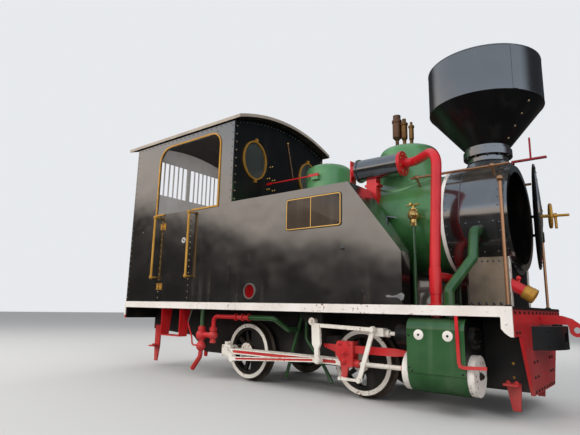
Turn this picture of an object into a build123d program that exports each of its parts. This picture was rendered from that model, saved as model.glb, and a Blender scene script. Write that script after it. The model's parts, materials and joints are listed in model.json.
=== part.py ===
from build123d import *
from math import asin, cos, radians, sin, sqrt
import os

# A two-axle side-tank steam locomotive, in millimetres.
# X runs forward, Y to the driver's left and Z up from the wheel flanges' lowest point.
# Pieces are drawn on the left side, and the right side's are their mirror images.

# Main dimensions
length_over_couplers = 5270
coupler_reach = 308
beam_face_x = length_over_couplers / 2 - coupler_reach
wheelbase = 1400
front_axle_x = 980
rear_axle_x = front_axle_x - wheelbase
gauge = 1000
half_width = 887
seat = 0.3

# Wheels and axles
tread_radius = 290
flange_height = 26
flange_radius = tread_radius + flange_height
axle_z = flange_radius
axle_radius = 60
back_to_back = gauge - 70
wheel_inner_y = back_to_back / 2
tyre_width = 100
wheel_outer_y = wheel_inner_y + tyre_width
tyre_inner_radius = 243
rim_inner_radius = 212
hub_radius = 84
hub_end_y = wheel_outer_y + 26
spoke_count = 10
spoke_foot = (46, 40)
spoke_tip = (30, 30)
crank_throw = 150
pin_radius = 32
pin_boss_radius = 58
running_clearance = 0.1

# Planes of the rods, counted outward from the wheels
plane_gap = 8
coupling_rod_y = (hub_end_y + 20, hub_end_y + 62)
pin_end_y = coupling_rod_y[1] + 10
guide_inner_y = (pin_end_y + plane_gap, pin_end_y + plane_gap + 16)
rod_y = (guide_inner_y[1] + plane_gap, guide_inner_y[1] + plane_gap + 46)
guide_outer_y = (rod_y[1] + plane_gap, rod_y[1] + plane_gap + 18)
lever_y = (guide_outer_y[1] + plane_gap + 4, guide_outer_y[1] + plane_gap + 20)
union_y = (lever_y[1] + plane_gap, lever_y[1] + plane_gap + 12)
cylinder_y = (rod_y[0] + rod_y[1]) / 2

# Cylinders, crossheads and rods
connecting_rod_length = 1475
rod_eye_radius = 52
big_end_half = 62
piston_rod_radius = 20
bar_low = axle_z + 87
bar_high = axle_z + 151
bar_rear_x = 680
cylinder_x = (1551, 1995)
cylinder_radius = 160
cylinder_top = 726
casing_corner = 90
bore_radius = 60
bore_front_x = cylinder_x[1] - 28
casing_outer_y = half_width - 7
rear_cover_x = 1497
front_cover_x = 2045
cover_radius = 147
valve_z = 584
valve_chest_radius = 84
chest_rear_x = 1415
return_throw = (125, -68)
trunnion = (650, 540)
link_foot = 218
link_top = 88
link_head = 96
link_half_width = 44
eccentric_rod_length = 1110
radius_rod_length = 565
lever_length = 434
lever_foot_x = 1077
pivot_z = 612
weigh_shaft = (605, 660)
weigh_shaft_radius = 26
lever_pin_radius = 12
gudgeon_radius = 27
tail_low = 208
union_z = 193

# Frames and running board
frame_y = (400, 425)
frame_low = 240
frame_low_edge = (
    (2302, 200), (1500, 200), (1380, frame_low), (-1250, frame_low), (-1500, 420), (-2302, 470),
)
horn_half = 80
horn_rise = 92
stretcher_thickness = 12
stretcher_setback = 135
stretcher_low = 280
deck_top = 818
deck_thickness = 12
deck_low = deck_top - deck_thickness
deck_opening_end = 1640
edge_thickness = 12
edge_depth = 74
edge_low = deck_top - edge_depth
edge_y = (half_width - edge_thickness, half_width)
beam_thickness = 25
beam_low = 612
apron_low = 176
apron_half_y = (648, 400)
box_z = (500, 676)
box_half_y = 349
box_reach = 190
coupler_pin_radius = 20
hook_hole = (length_over_couplers / 2 - 52, 650)
hook_half = 15
hook_z = (690, 760)
guard_x = (beam_face_x - 183, beam_face_x - 77)
guard_z = (60, 245)
guard_hanger_top = 520
step_x = (-1558, -1222)
step_tread_z = (430, 442)

# Boiler
firebox_x = (-900, -80)
firebox_half_y = 320
grate_z = 440
boiler_z = 1586
barrel_radius = 460
barrel_front_x = 1734
smokebox_radius = 490
smokebox_wall = 12
smokebox_front_x = 2207
door_ring_x = smokebox_front_x + 31
door_ring_radius = 459
door_opening_radius = 405
door_radius = 452
door_seat_gap = 6
dish_depth = 48
door_ajar = 13
door_hinge_x = door_ring_x + door_seat_gap + 17
door_hinge_y = 480
hinge_pin_radius = 9
door_hinge_rise = 52
door_lug_rise = 90
chimney_x = 1994
chimney_radius = 499
chimney_cone_low = 2252
chimney_cone_high = 2624
chimney_top = 3041
chimney_ring_z = (2163, 2221)
chimney_ring_radius = 210
chimney_neck_radius = 194
chimney_mouth_radius = 230
chimney_wall = 12
flue_radius = 150
rail_y = 400
rail_z = 1977
corner_rod_y = 717
corner_rod_top = 1760
saddle_x = (1871, 2194)
saddle_half_y = 330
steam_dome = (1225, 296, 2400)
sand_dome = (233, 263, 2381)
dome_crown = 14
dome_round = 84
dome_flare = 54
dome_valves = ((-128, 46, 400, 40), (-46, 33, 345, 20), (32, 25, 290, 14))

# Tanks and cab
side_y = 872
tank_inner_y = 476
tank_top = 1905
tank_slope_x = (1019, 1519)
tank_slope_low = 1247
tank_throat_y = 720
cab_rear_x = -beam_face_x + 2
cab_front_x = -466
wall = 20
eave_z = 2862
roof_rise = 165
roof_overhang = 24
roof_rear_overhang = 187
roof_front_overhang = 103
roof_thickness = 38
window_x = (-1802, -681)
window_z = (1891, 2763)
window_corner = (200, 150)
door_x = (-1645, -1116)
door_gap = 6
spectacle = (525, 2467)
spectacle_half = (186, 223)
rear_window_y = (30, 760)
rear_window_z = (2310, 2800)
rear_bar_count = 8
hinge_barrel = 9
hinge_half = 38
door_hinge_z = (998, 1732)
door_lock = (-1229, 1534)
door_lock_radius = 34
handrail_x = (-1747, -1098)
handrail_y = side_y + 58
handrail_z = (1109, 1852)

# Pipes and valves
pipe_radius = 42
chest_pipe_y = 720
steam_pipe_x = 1735
branch_z = 1050
exhaust_pipe_x = 1840
exhaust_mouth = (2005, 1422)
regulator_y = -450
regulator_z = tank_top + 214
regulator_x = (steam_dome[0] - 330, steam_dome[0] + 117)
regulator_radius = 105
regulator_neck_radius = 60
clack = (1490, 545, 1599)
injector_y = 770
injector_x = (-945, -757)
injector_z = (341, 466, 560)
branch_pipe_z = 670
steam_branch_length = 540
sand_pipe_y = 480
sand_pipe_radius = 17
sand_feet = ((43, 85), (601, 89))
sand_rod = (292, 2228)
cleaning_pipe_y = -273
cleaning_pipe_radius = (46, 58)


def block(x, y, z):
    """A box from its low and high value along each axis."""
    spans = (x, y, z)
    middle = [(low + high) / 2 for low, high in spans]
    return Pos(*middle) * Box(*[high - low for low, high in spans])


def round_x(x, y, z, radius):
    """A cylinder along X."""
    face = Plane(origin=(x[0], y, z), x_dir=(0, 1, 0), z_dir=(1, 0, 0))
    return extrude(face * Circle(radius), x[1] - x[0])


def round_y(x, y, z, radius):
    """A cylinder along Y."""
    face = Plane(origin=(x, y[0], z), x_dir=(1, 0, 0), z_dir=(0, 1, 0))
    return extrude(face * Circle(radius), y[1] - y[0])


def round_z(x, y, z, radius):
    """A cylinder along Z."""
    return extrude(Plane(origin=(x, y, z[0])) * Circle(radius), z[1] - z[0])


def plate_xz(points, y):
    """A flat plate with its outline in X and Z."""
    outline = make_face(Polyline(*points, close=True))
    return extrude(Plane(origin=(0, y[1], 0), x_dir=(1, 0, 0), z_dir=(0, -1, 0)) * outline, y[1] - y[0])


def plate_yz(points, x):
    """A flat plate with its outline in Y and Z."""
    outline = make_face(Polyline(*points, close=True))
    return extrude(Plane(origin=(x[0], 0, 0), x_dir=(0, 1, 0), z_dir=(1, 0, 0)) * outline, x[1] - x[0])


def plate_xy(points, z):
    """A flat plate with its outline in X and Y."""
    return extrude(Plane(origin=(0, 0, z[0])) * make_face(Polyline(*points, close=True)), z[1] - z[0])


def oval_x(x, y, z, grow):
    """A round window's outline as a solid along X, grown all round."""
    face = Plane(origin=(x[0], y, z), x_dir=(0, 1, 0), z_dir=(1, 0, 0))
    return extrude(face * Ellipse(spectacle_half[0] + grow, spectacle_half[1] + grow), x[1] - x[0])


def turned_x(points, z=boiler_z, y=0):
    """A body of revolution about an axis along X, from (x, radius) points."""
    outline = make_face(Polyline(*points, close=True))
    placed = Plane(origin=(0, y, z), x_dir=(1, 0, 0), z_dir=(0, -1, 0)) * outline
    return revolve(placed, Axis((0, y, z), (1, 0, 0)))


def turned_z(points, x, y=0):
    """A body of revolution about an axis along Z, from (radius, z) points."""
    outline = make_face(Polyline(*points, close=True))
    placed = Plane(origin=(x, y, 0), x_dir=(1, 0, 0), z_dir=(0, -1, 0)) * outline
    return revolve(placed, Axis((x, y, 0), (0, 0, 1)))


def pipe(points, bend, radius):
    """A round pipe through corner points, with arcs of one bend radius."""
    path = FilletPolyline(*points, radius=bend)
    return sweep(Plane(origin=path @ 0, z_dir=path % 0) * Circle(radius), path)


def bar(start, end, radius):
    """A straight round bar between two points."""
    run = Vector(*end) - Vector(*start)
    return extrude(Plane(origin=start, z_dir=run) * Circle(radius), run.length)


def right(shape):
    """The mirror image on the right side."""
    return mirror(shape, about=Plane.XZ)


def both(*shapes):
    """The shapes and their mirror images, as one node of separate solids."""
    return together(*shapes, *[right(shape) for shape in shapes])


def together(*shapes):
    """Separate solids that share one node."""
    return Compound(children=[solid for shape in shapes for solid in shape.solids()])


def wheelset(axle_x, pin_end):
    """One axle's wheel centres with pins, and its two tyres.

    The left crank is a quarter turn off the right.
    """
    body = round_y(axle_x, (-hub_end_y, hub_end_y), axle_z, axle_radius)
    tyres = []
    for side, crank_angle in ((1, 270), (-1, 180)):
        pin_x = axle_x + crank_throw * cos(radians(crank_angle))
        pin_z = axle_z + crank_throw * sin(radians(crank_angle))
        inner, outer = wheel_inner_y + 12, wheel_outer_y - 12
        wheel = round_y(axle_x, (inner - 14, hub_end_y), axle_z, hub_radius)
        rim = round_y(axle_x, (inner, outer), axle_z, tyre_inner_radius - seat)
        wheel += rim - round_y(axle_x, (inner, outer), axle_z, rim_inner_radius)
        for index in range(spoke_count):
            angle = 360 / spoke_count * (index + 0.5)
            spoke = loft([
                Plane(origin=(0, 0, hub_radius - 12)) * Rectangle(*spoke_foot),
                Plane(origin=(0, 0, rim_inner_radius + 8)) * Rectangle(*spoke_tip),
            ])
            place = Pos(axle_x, (inner + outer) / 2, axle_z) * Rot(0, angle, 0)
            wheel += place * spoke
        boss = round_y(pin_x, (inner + 10, hub_end_y - 6), pin_z, pin_boss_radius)
        pin = round_y(pin_x, (inner + 20, pin_end), pin_z, pin_radius)
        cap = round_y(pin_x, (coupling_rod_y[1] + 2, pin_end_y), pin_z, pin_radius + 10)
        weight = weight_segment(axle_x, crank_angle + 180, (inner + 4, outer))
        wheel = wheel + boss + pin + cap + weight
        body += wheel if side > 0 else right(wheel)
        tyre = tyre_ring(axle_x)
        tyres.append(tyre if side > 0 else right(tyre))
    return body, together(*tyres)


def weight_segment(axle_x, angle, y):
    """The balance weight cast between the spokes opposite the crank pin."""
    disc = Circle(rim_inner_radius + 6) - Pos(-rim_inner_radius - 55, 0) * Rectangle(600, 600)
    disc = Rot(0, 0, angle) * (disc - Circle(hub_radius - 4))
    face = Plane(origin=(axle_x, y[1], axle_z), x_dir=(1, 0, 0), z_dir=(0, -1, 0))
    return extrude(face * disc, y[1] - y[0])


def tyre_ring(axle_x):
    """A flanged tyre, turned about the axle."""
    profile = [
        (tyre_inner_radius, wheel_inner_y), (flange_radius - 8, wheel_inner_y),
        (flange_radius, wheel_inner_y + 10), (flange_radius, wheel_inner_y + 18),
        (tread_radius + 4, wheel_inner_y + 34), (tread_radius, wheel_inner_y + 44),
        (tread_radius - 2, wheel_outer_y - 6), (tread_radius - 8, wheel_outer_y),
        (tyre_inner_radius, wheel_outer_y),
    ]
    return Pos(axle_x, 0, axle_z) * revolve(make_face(Polyline(*profile, close=True)), Axis.Y)


def crank_pin(crank_angle, axle_x):
    """The crank pin's centre in X and Z."""
    turn = radians(crank_angle)
    return (axle_x + crank_throw * cos(turn), axle_z + crank_throw * sin(turn))


def rod(start, end, y, eye, waist, flute):
    """A forged rod with an eye at each end and a flute sunk in its outer face."""
    run = Vector(end[0] - start[0], end[1] - start[1])
    slope = asin(run.Y / run.length)
    shank = Pos(run.length / 2, 0) * Rectangle(run.length, waist)
    outline = shank + Circle(eye[0]) + Pos(run.length, 0) * Circle(eye[1])
    groove_length = run.length - 2 * max(eye) - 60
    groove = Pos(run.length / 2, 0) * SlotOverall(groove_length, waist - 2 * flute)
    face = Plane(origin=(start[0], y[1], start[1]), x_dir=(cos(slope), 0, sin(slope)), z_dir=(0, -1, 0))
    return extrude(face * outline, y[1] - y[0]) - extrude(face * groove, 5)


def coupling_rod(crank_angle):
    """The rod that joins the two axles, bored for both crank pins."""
    rear, front = crank_pin(crank_angle, rear_axle_x), crank_pin(crank_angle, front_axle_x)
    shape = rod(rear, front, coupling_rod_y, (56, 56), 54, 13)
    for x, z in (rear, front):
        shape -= round_y(x, coupling_rod_y, z, pin_radius + running_clearance)
    return shape


def gudgeon_x(crank_angle):
    """Where the gudgeon pin stands for a crank angle."""
    pin_x, pin_z = crank_pin(crank_angle, rear_axle_x)
    return pin_x + sqrt(connecting_rod_length ** 2 - (pin_z - axle_z) ** 2)


def connecting_rod(crank_angle):
    """The connecting rod with its big end and the return crank on it."""
    big = crank_pin(crank_angle, rear_axle_x)
    small = (gudgeon_x(crank_angle), axle_z)
    shape = rod(big, small, rod_y, (big_end_half, rod_eye_radius), 52, 12)
    shape += block((big[0] - 70, big[0] + 60), rod_y, (big[1] - 60, big[1] + 60))
    shape += block((big[0] + 22, big[0] + 44), (rod_y[0] + 8, rod_y[1] - 8), (big[1] - 78, big[1] + 98))
    shape += round_z(big[0] - 22, sum(rod_y) / 2, (big[1] + 58, big[1] + 92), 21)
    shape -= round_y(small[0], rod_y, small[1], gudgeon_radius + running_clearance)
    crank_y = (rod_y[1], guide_outer_y[1])
    return shape + link_bar(big, return_pin(crank_angle), crank_y, (44, 32), 56)


def return_pin(crank_angle):
    """The return crank's pin in X and Z, turned with the crank."""
    turn = radians(crank_angle - 180)
    x, z = crank_pin(crank_angle, rear_axle_x)
    along, up = return_throw
    return (x + along * cos(turn) - up * sin(turn), z + along * sin(turn) + up * cos(turn))


def link_bar(start, end, y, eye, waist):
    """A flat bar with a round eye at each end, between two points in X and Z."""
    run = Vector(end[0] - start[0], 0, end[1] - start[1])
    outline = Pos(run.length / 2, 0) * Rectangle(run.length, waist)
    outline += Circle(eye[0]) + Pos(run.length, 0) * Circle(eye[1])
    face = Plane(origin=(start[0], y[1], start[1]), x_dir=run, z_dir=(0, -1, 0))
    return extrude(face * outline, y[1] - y[0])


def meet(first, first_radius, second, second_radius):
    """Where two circles in X and Z cross, on the forward side."""
    dx, dz = second[0] - first[0], second[1] - first[1]
    apart = sqrt(dx ** 2 + dz ** 2)
    along = (first_radius ** 2 - second_radius ** 2 + apart ** 2) / (2 * apart)
    aside = sqrt(first_radius ** 2 - along ** 2)
    return (first[0] + (along * dx + aside * dz) / apart, first[1] + (along * dz - aside * dx) / apart)


def foot_pin(crank_angle):
    """The expansion link's foot, reached by the eccentric rod."""
    return meet(return_pin(crank_angle), eccentric_rod_length, trunnion, link_foot)


def top_pin(crank_angle):
    """The point of the expansion link that the radius rod takes."""
    x, z = foot_pin(crank_angle)
    scale = link_top / link_foot
    return (trunnion[0] - (x - trunnion[0]) * scale, trunnion[1] - (z - trunnion[1]) * scale)


def lever_pivot(crank_angle):
    """The combination lever's upper pin, at the radius rod's front end."""
    x, z = top_pin(crank_angle)
    return (x + sqrt(radius_rod_length ** 2 - (pivot_z - z) ** 2), pivot_z)


def crosshead_travel(crank_angle):
    """How far the crosshead stands from the rear end of its stroke."""
    return gudgeon_x(crank_angle) - gudgeon_x(180)


def lever_foot(crank_angle):
    """The combination lever's lower pin."""
    pivot = lever_pivot(crank_angle)
    x = lever_foot_x + crosshead_travel(crank_angle)
    return (x, pivot[1] - sqrt(lever_length ** 2 - (x - pivot[0]) ** 2))


def crosshead(crank_angle):
    """Crosshead plates on both sides of the slide bar, with gudgeon pin, piston rod and union link."""
    x = gudgeon_x(crank_angle)
    span = (x - 79, x + 95)
    top = (bar_high + seat, bar_high + 34)
    low = (bar_low - 30, bar_low - seat)
    heel = [
        (span[0] + 20, top[1]), (span[1], top[1]), (span[1], axle_z - 24), (x + 50, axle_z - 32),
        (x - 22, axle_z - 40), (x - 32, axle_z + 7), (span[0], axle_z + 79), (span[0], top[0]),
    ]
    shape = plate_xz(heel, guide_outer_y) + plate_xz(heel, guide_inner_y)
    tail = [(x - 24, axle_z - 20), (x + 52, axle_z - 20), (x + 34, tail_low), (x - 12, tail_low)]
    shape += plate_xz(tail, guide_outer_y)
    across = (guide_inner_y[0], guide_outer_y[1])
    shape += block((span[0] + 20, span[1]), across, top)
    shape += block(span, across, low)
    shape += round_y(x, across, axle_z, gudgeon_radius)
    shape += block((x + rod_eye_radius + 8, span[1]), across, (axle_z - 24, axle_z + 40))
    shape += round_x((span[1], span[1] + 50), cylinder_y, axle_z, 34)
    shape += round_x((span[1], rear_cover_x + 160), cylinder_y, axle_z, piston_rod_radius)
    pin_x = x - 10
    shape += block((pin_x - 16, pin_x + 40), guide_outer_y, (union_z - 16, tail_low + 10))
    shape += round_y(pin_x, (guide_outer_y[1] - 2, union_y[1] + 6), union_z, 13)
    foot_x = lever_foot(crank_angle)[0]
    return shape + link_bar((pin_x, union_z), (foot_x, union_z), union_y, (17, 22), 23)


def combination_lever(crank_angle):
    """The upright lever between union link and radius rod."""
    pivot, foot = lever_pivot(crank_angle), lever_foot(crank_angle)
    shape = link_bar(pivot, foot, lever_y, (28, 28), 38)
    return shape - round_y(pivot[0], lever_y, pivot[1], lever_pin_radius + running_clearance)


def frame_plates():
    """The two inside frame plates, with a horn slot for each axle."""
    ends = beam_face_x - beam_thickness
    plate = plate_xz([(-ends, deck_low), (ends, deck_low), *frame_low_edge], frame_y)
    for axle_x in (rear_axle_x, front_axle_x):
        plate -= block((axle_x - horn_half, axle_x + horn_half), frame_y, (0, axle_z + horn_rise))
    return both(plate)


def frame_stretchers():
    """Cross plates between the frames."""
    y = (-frame_y[0], frame_y[0])
    end = beam_face_x - stretcher_setback
    spans = (
        (-end, 480),
        (rear_axle_x - 780, stretcher_low),
        (front_axle_x - 420, stretcher_low),
        (front_axle_x + 440, stretcher_low),
        (end - stretcher_thickness, 210),
    )
    return together(*[block((x, x + stretcher_thickness), y, (low, deck_low)) for x, low in spans])


def axle_boxes():
    """A bearing block in each horn slot."""
    boxes = []
    for axle_x in (rear_axle_x, front_axle_x):
        half = horn_half - seat
        y = (frame_y[0] - 10, frame_y[1] + 18)
        shape = block((axle_x - half, axle_x + half), y, (axle_z - 84, axle_z + horn_rise - seat))
        boxes.append(shape - round_y(axle_x, y, axle_z, axle_radius + running_clearance))
    return both(*boxes)


def front_beam():
    """The front beam with the tapered plate below it."""
    x = (beam_face_x - beam_thickness, beam_face_x)
    inner = edge_y[0] - seat
    top, foot = apron_half_y
    outline = [
        (-inner, deck_low), (-inner, beam_low), (-top, beam_low), (-foot, apron_low),
        (foot, apron_low), (top, beam_low), (inner, beam_low), (inner, deck_low),
    ]
    return plate_yz(outline, x)


def rear_beam():
    """The plain rear beam."""
    inner = edge_y[0] - seat
    return block((-beam_face_x, -beam_face_x + beam_thickness), (-inner, inner), (beam_low, deck_low))


def buffer_beams():
    """Front and rear beam."""
    return together(front_beam(), rear_beam())


def running_board():
    """The deck plate, open over the firebox and round the pipes."""
    half = edge_y[0]
    ends = beam_face_x
    z = (deck_low, deck_top)
    deck = block((-ends, ends), (-half, half), z)
    opening = firebox_half_y + 10
    deck -= block((firebox_x[0] - 10, deck_opening_end), (-opening, opening), z)
    for x in (steam_pipe_x, exhaust_pipe_x):
        for side in (-1, 1):
            deck -= round_z(x, side * chest_pipe_y, z, pipe_radius + 3)
    return deck


def board_edges():
    """The white edge strips, deeper at both ends."""
    rear, front = -beam_face_x, beam_face_x
    outline = [
        (rear, deck_top), (front, deck_top), (front, beam_low), (front - 18, beam_low),
        (front - 34, beam_low + 8), (front - 56, beam_low + 26), (front - 79, beam_low + 52),
        (front - 79, edge_low), (rear + 26, edge_low), (rear + 26, edge_low - 96), (rear, edge_low - 96),
    ]
    return both(plate_xz(outline, edge_y))


def buffing_boxes():
    """A wide curved buffing box with its link mouth and pin hole, at each end."""
    low, high = box_z
    radius = (box_half_y ** 2 + box_reach ** 2) / (2 * box_reach)
    outline = Pos(beam_face_x + box_reach - radius, 0) * Circle(radius)
    outline &= Pos(beam_face_x + box_reach, 0) * Rectangle(2 * box_reach, 4 * box_half_y)
    box = extrude(Plane(origin=(0, 0, low)) * outline, high - low)
    box -= block((beam_face_x + 40, beam_face_x + box_reach + 10), (-90, 90), (low + 50, high - 50))
    box -= round_z(beam_face_x + 120, 0, (low, high), coupler_pin_radius)
    return together(box, mirror(box, about=Plane.YZ))


def draw_hooks():
    """The hook plate above each buffing box, with its eye."""
    x, z = hook_hole
    low, top = hook_z
    y = (-hook_half, hook_half)
    outline = [
        (beam_face_x, low), (beam_face_x, top), (x - 100, top), (x - 30, top - 22),
        (x + 30, low + 2), (x, z), (x - 50, z), (x - 60, low),
    ]
    plate = plate_xz(outline, y) + round_y(x, y, z, 52) - round_y(x, y, z, 24)
    return together(plate, mirror(plate, about=Plane.YZ))


def guard_irons():
    """The rail guards at both ends, ahead of the wheels."""
    rear, front = guard_x
    low, top = guard_z
    y = (frame_y[1], frame_y[1] + 16)
    iron = plate_xz([(rear, top), (front, top), (front - 14, low), (rear + 36, low)], y)
    iron += block(guard_x, (frame_y[1], frame_y[1] + 110), (top, top + 16))
    hanger = block(guard_x, y, (top, guard_hanger_top))
    return both(iron, mirror(iron + hanger, about=Plane.YZ))


def firebox():
    """Firebox with round wrapper and backhead as one plain mass, and the ash pan astride the axle."""
    front = cab_front_x - wall - seat
    mass = round_x((firebox_x[0], front), 0, boiler_z, barrel_radius - 12)
    mass += block(firebox_x, (-firebox_half_y, firebox_half_y), (grate_z, boiler_z))
    mass -= round_x((front, 0), 0, boiler_z, barrel_radius + seat)
    y = (-firebox_half_y, firebox_half_y)
    z = (frame_low + 10, grate_z - seat)
    front_pan = block((rear_axle_x + 90, firebox_x[1]), y, z)
    return together(mass, front_pan, block((firebox_x[0] + 20, rear_axle_x - 90), y, z))


def boiler_barrel():
    """The boiler barrel from the cab front to the smokebox."""
    return round_x((cab_front_x - wall, barrel_front_x), 0, boiler_z, barrel_radius)


def boiler_band():
    """The white band where barrel and smokebox meet."""
    x = (barrel_front_x - 32, barrel_front_x)
    return round_x(x, 0, boiler_z, smokebox_radius + 3) - round_x(x, 0, boiler_z, barrel_radius + seat)


def smokebox():
    """The smokebox shell, open to the chimney."""
    x = (barrel_front_x, smokebox_front_x - smokebox_wall)
    shell = round_x(x, 0, boiler_z, smokebox_radius)
    shell -= round_x(x, 0, boiler_z, smokebox_radius - smokebox_wall)
    return shell - round_z(chimney_x, 0, (boiler_z, chimney_cone_low), flue_radius)


def smokebox_front():
    """The smokebox front plate with its door seat, hinge lugs and pin."""
    back = smokebox_front_x - smokebox_wall + seat
    profile = [
        (back, smokebox_radius), (smokebox_front_x, smokebox_radius), (smokebox_front_x, door_ring_radius),
        (door_ring_x, door_ring_radius), (door_ring_x, door_opening_radius), (back, door_opening_radius),
    ]
    plate = turned_x(profile)
    lug_x = (smokebox_front_x - 4, door_hinge_x + 12)
    lug_y = (door_hinge_y - 12, door_hinge_y + 12)
    for z in (boiler_z - door_lug_rise, boiler_z + door_lug_rise):
        plate += block(lug_x, lug_y, (z - 12, z + 12))
    z = (boiler_z - door_lug_rise - 10, boiler_z + door_lug_rise + 10)
    return plate + round_z(door_hinge_x, door_hinge_y, z, hinge_pin_radius)


def saddle():
    """The smokebox saddle on the deck."""
    shape = block(saddle_x, (-saddle_half_y, saddle_half_y), (deck_top, boiler_z - smokebox_radius * 0.6))
    return shape - round_x(saddle_x, 0, boiler_z, smokebox_radius + seat)


def smokebox_door():
    """The dished door, drawn closed and then swung ajar about its left-hand hinge."""
    back = door_ring_x + door_seat_gap
    profile = [
        (back, 0), (back, door_radius), (back + 12, door_radius), (back + 16, door_radius - 40),
        (back + dish_depth - 14, 240), (back + dish_depth - 2, 110), (back + dish_depth, 100),
        (back + dish_depth, 0),
    ]
    door = turned_x(profile)
    for middle in (boiler_z - door_hinge_rise, boiler_z + door_hinge_rise):
        z = (middle - 20, middle + 20)
        door += block((back + 10, back + 24), (door_hinge_y - 120, door_hinge_y), z)
        door += round_z(door_hinge_x, door_hinge_y, z, hinge_pin_radius + 7)
        door -= round_z(door_hinge_x, door_hinge_y, z, hinge_pin_radius + running_clearance)
    return swing(door)


def swing(shape):
    """A piece of the smokebox door at its resting angle."""
    hinge = Pos(door_hinge_x, door_hinge_y, 0)
    return hinge * Rot(0, 0, door_ajar) * hinge.inverse() * shape


def door_wheel():
    """The door's handwheel and crank handle."""
    x = door_ring_x + door_seat_gap + dish_depth
    wheel_x = x + 62
    shape = round_x((x, x + 85), 0, boiler_z, 14) + round_x((x + 85, x + 110), 0, boiler_z, 22)
    shape += Pos(wheel_x, 0, boiler_z) * Rot(0, 90, 0) * Torus(95, 13)
    for angle in range(45, 360, 90):
        tip = (wheel_x, 95 * cos(radians(angle)), boiler_z + 95 * sin(radians(angle)))
        shape += bar((wheel_x, 0, boiler_z), tip, 8)
    shape += bar((x + 98, 0, boiler_z), (x + 98, -20, boiler_z - 110), 11)
    shape += bar((x + 98, 0, boiler_z), (x + 200, -8, boiler_z), 11)
    return swing(shape)


def chimney():
    """The balloon chimney, open down its bore."""
    base = boiler_z + sqrt(smokebox_radius ** 2 - flue_radius ** 2)
    ring_low, ring_high = chimney_ring_z
    lining = chimney_radius - chimney_wall
    profile = [
        (flue_radius, base - 60), (flue_radius + 25, base - 60), (flue_radius + 25, ring_low),
        (chimney_ring_radius, ring_low), (chimney_ring_radius, ring_high), (chimney_neck_radius, ring_high),
        (chimney_neck_radius, chimney_cone_low), (chimney_radius, chimney_cone_high),
        (chimney_radius, chimney_top),
        (chimney_mouth_radius, chimney_top), (chimney_mouth_radius, chimney_top - chimney_wall),
        (lining, chimney_top - chimney_wall), (lining, chimney_cone_high + 6),
        (chimney_neck_radius - chimney_wall, chimney_cone_low + 6), (flue_radius, ring_high),
    ]
    stack = turned_z(profile, chimney_x)
    skirt = [(flue_radius, base - 60), (240, base - 60), (178, base + 60), (flue_radius, base + 60)]
    stack += turned_z(skirt, chimney_x)
    return stack - round_x((chimney_x - 400, chimney_x + 400), 0, boiler_z, smokebox_radius + seat)


def dome(size):
    """A dome with a flared foot and a rounded top edge."""
    x, radius, edge_z = size
    crown = edge_z + dome_crown
    outline = Polyline((0, boiler_z), (radius, boiler_z), (radius, edge_z - dome_round))
    shoulder = ThreePointArc(
        (radius, edge_z - dome_round),
        (radius - dome_round * 0.293, edge_z - dome_round * 0.293),
        (radius - dome_round, edge_z),
    )
    top = Polyline((radius - dome_round, edge_z), (radius * 0.5, crown), (0, crown), (0, boiler_z))
    face = Plane(origin=(x, 0, 0), x_dir=(1, 0, 0), z_dir=(0, -1, 0)) * make_face([outline, shoulder, top])
    span = (x - radius - 100, x + radius + 100)
    foot = round_z(x, 0, (boiler_z, edge_z), radius + dome_flare)
    foot &= round_x(span, 0, boiler_z, barrel_radius + 12)
    shape = revolve(face, Axis((x, 0, 0), (0, 0, 1))) + foot
    seam = shape.edges().filter_by(lambda edge: on_foot(edge, x, radius))
    return fillet(seam, dome_flare - 14) - round_x(span, 0, boiler_z, barrel_radius + seat)


def on_foot(edge, x, radius):
    """Whether an edge is the seam between a dome and its foot."""
    spot = edge @ 0.5
    across = sqrt((spot.X - x) ** 2 + spot.Y ** 2)
    out = sqrt(spot.Y ** 2 + (spot.Z - boiler_z) ** 2)
    return abs(across - radius) < 1 and abs(out - barrel_radius - 12) < 1


def safety_valves():
    """The whistle and two safety valves on the steam dome."""
    x, radius, edge_z = steam_dome
    foot = edge_z + dome_crown
    valves = []
    for offset, size, height, cap in dome_valves:
        profile = [
            (0, foot), (28, foot), (28, foot + 16), (18, foot + 24), (18, foot + height * 0.3),
            (size, foot + height * 0.38), (size, foot + height * 0.78), (size + 6, foot + height * 0.8),
            (size + 6, foot + height * 0.86), (cap, foot + height * 0.9), (cap, foot + height),
            (0, foot + height),
        ]
        valves.append(turned_z(profile, x + offset))
    return together(*valves)


def regulator_housing():
    """The black cylinder beside the dome, with its rear flange and the neck from the dome."""
    shape = round_x(regulator_x, regulator_y, regulator_z, regulator_radius)
    shape += round_x((regulator_x[0], regulator_x[0] + 20), regulator_y, regulator_z, regulator_radius + 11)
    x, radius, edge_z = steam_dome
    neck = round_y(x, (regulator_y, -radius + 20), regulator_z, regulator_neck_radius)
    return shape + neck - round_z(x, 0, (boiler_z, edge_z), radius + seat)


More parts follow.
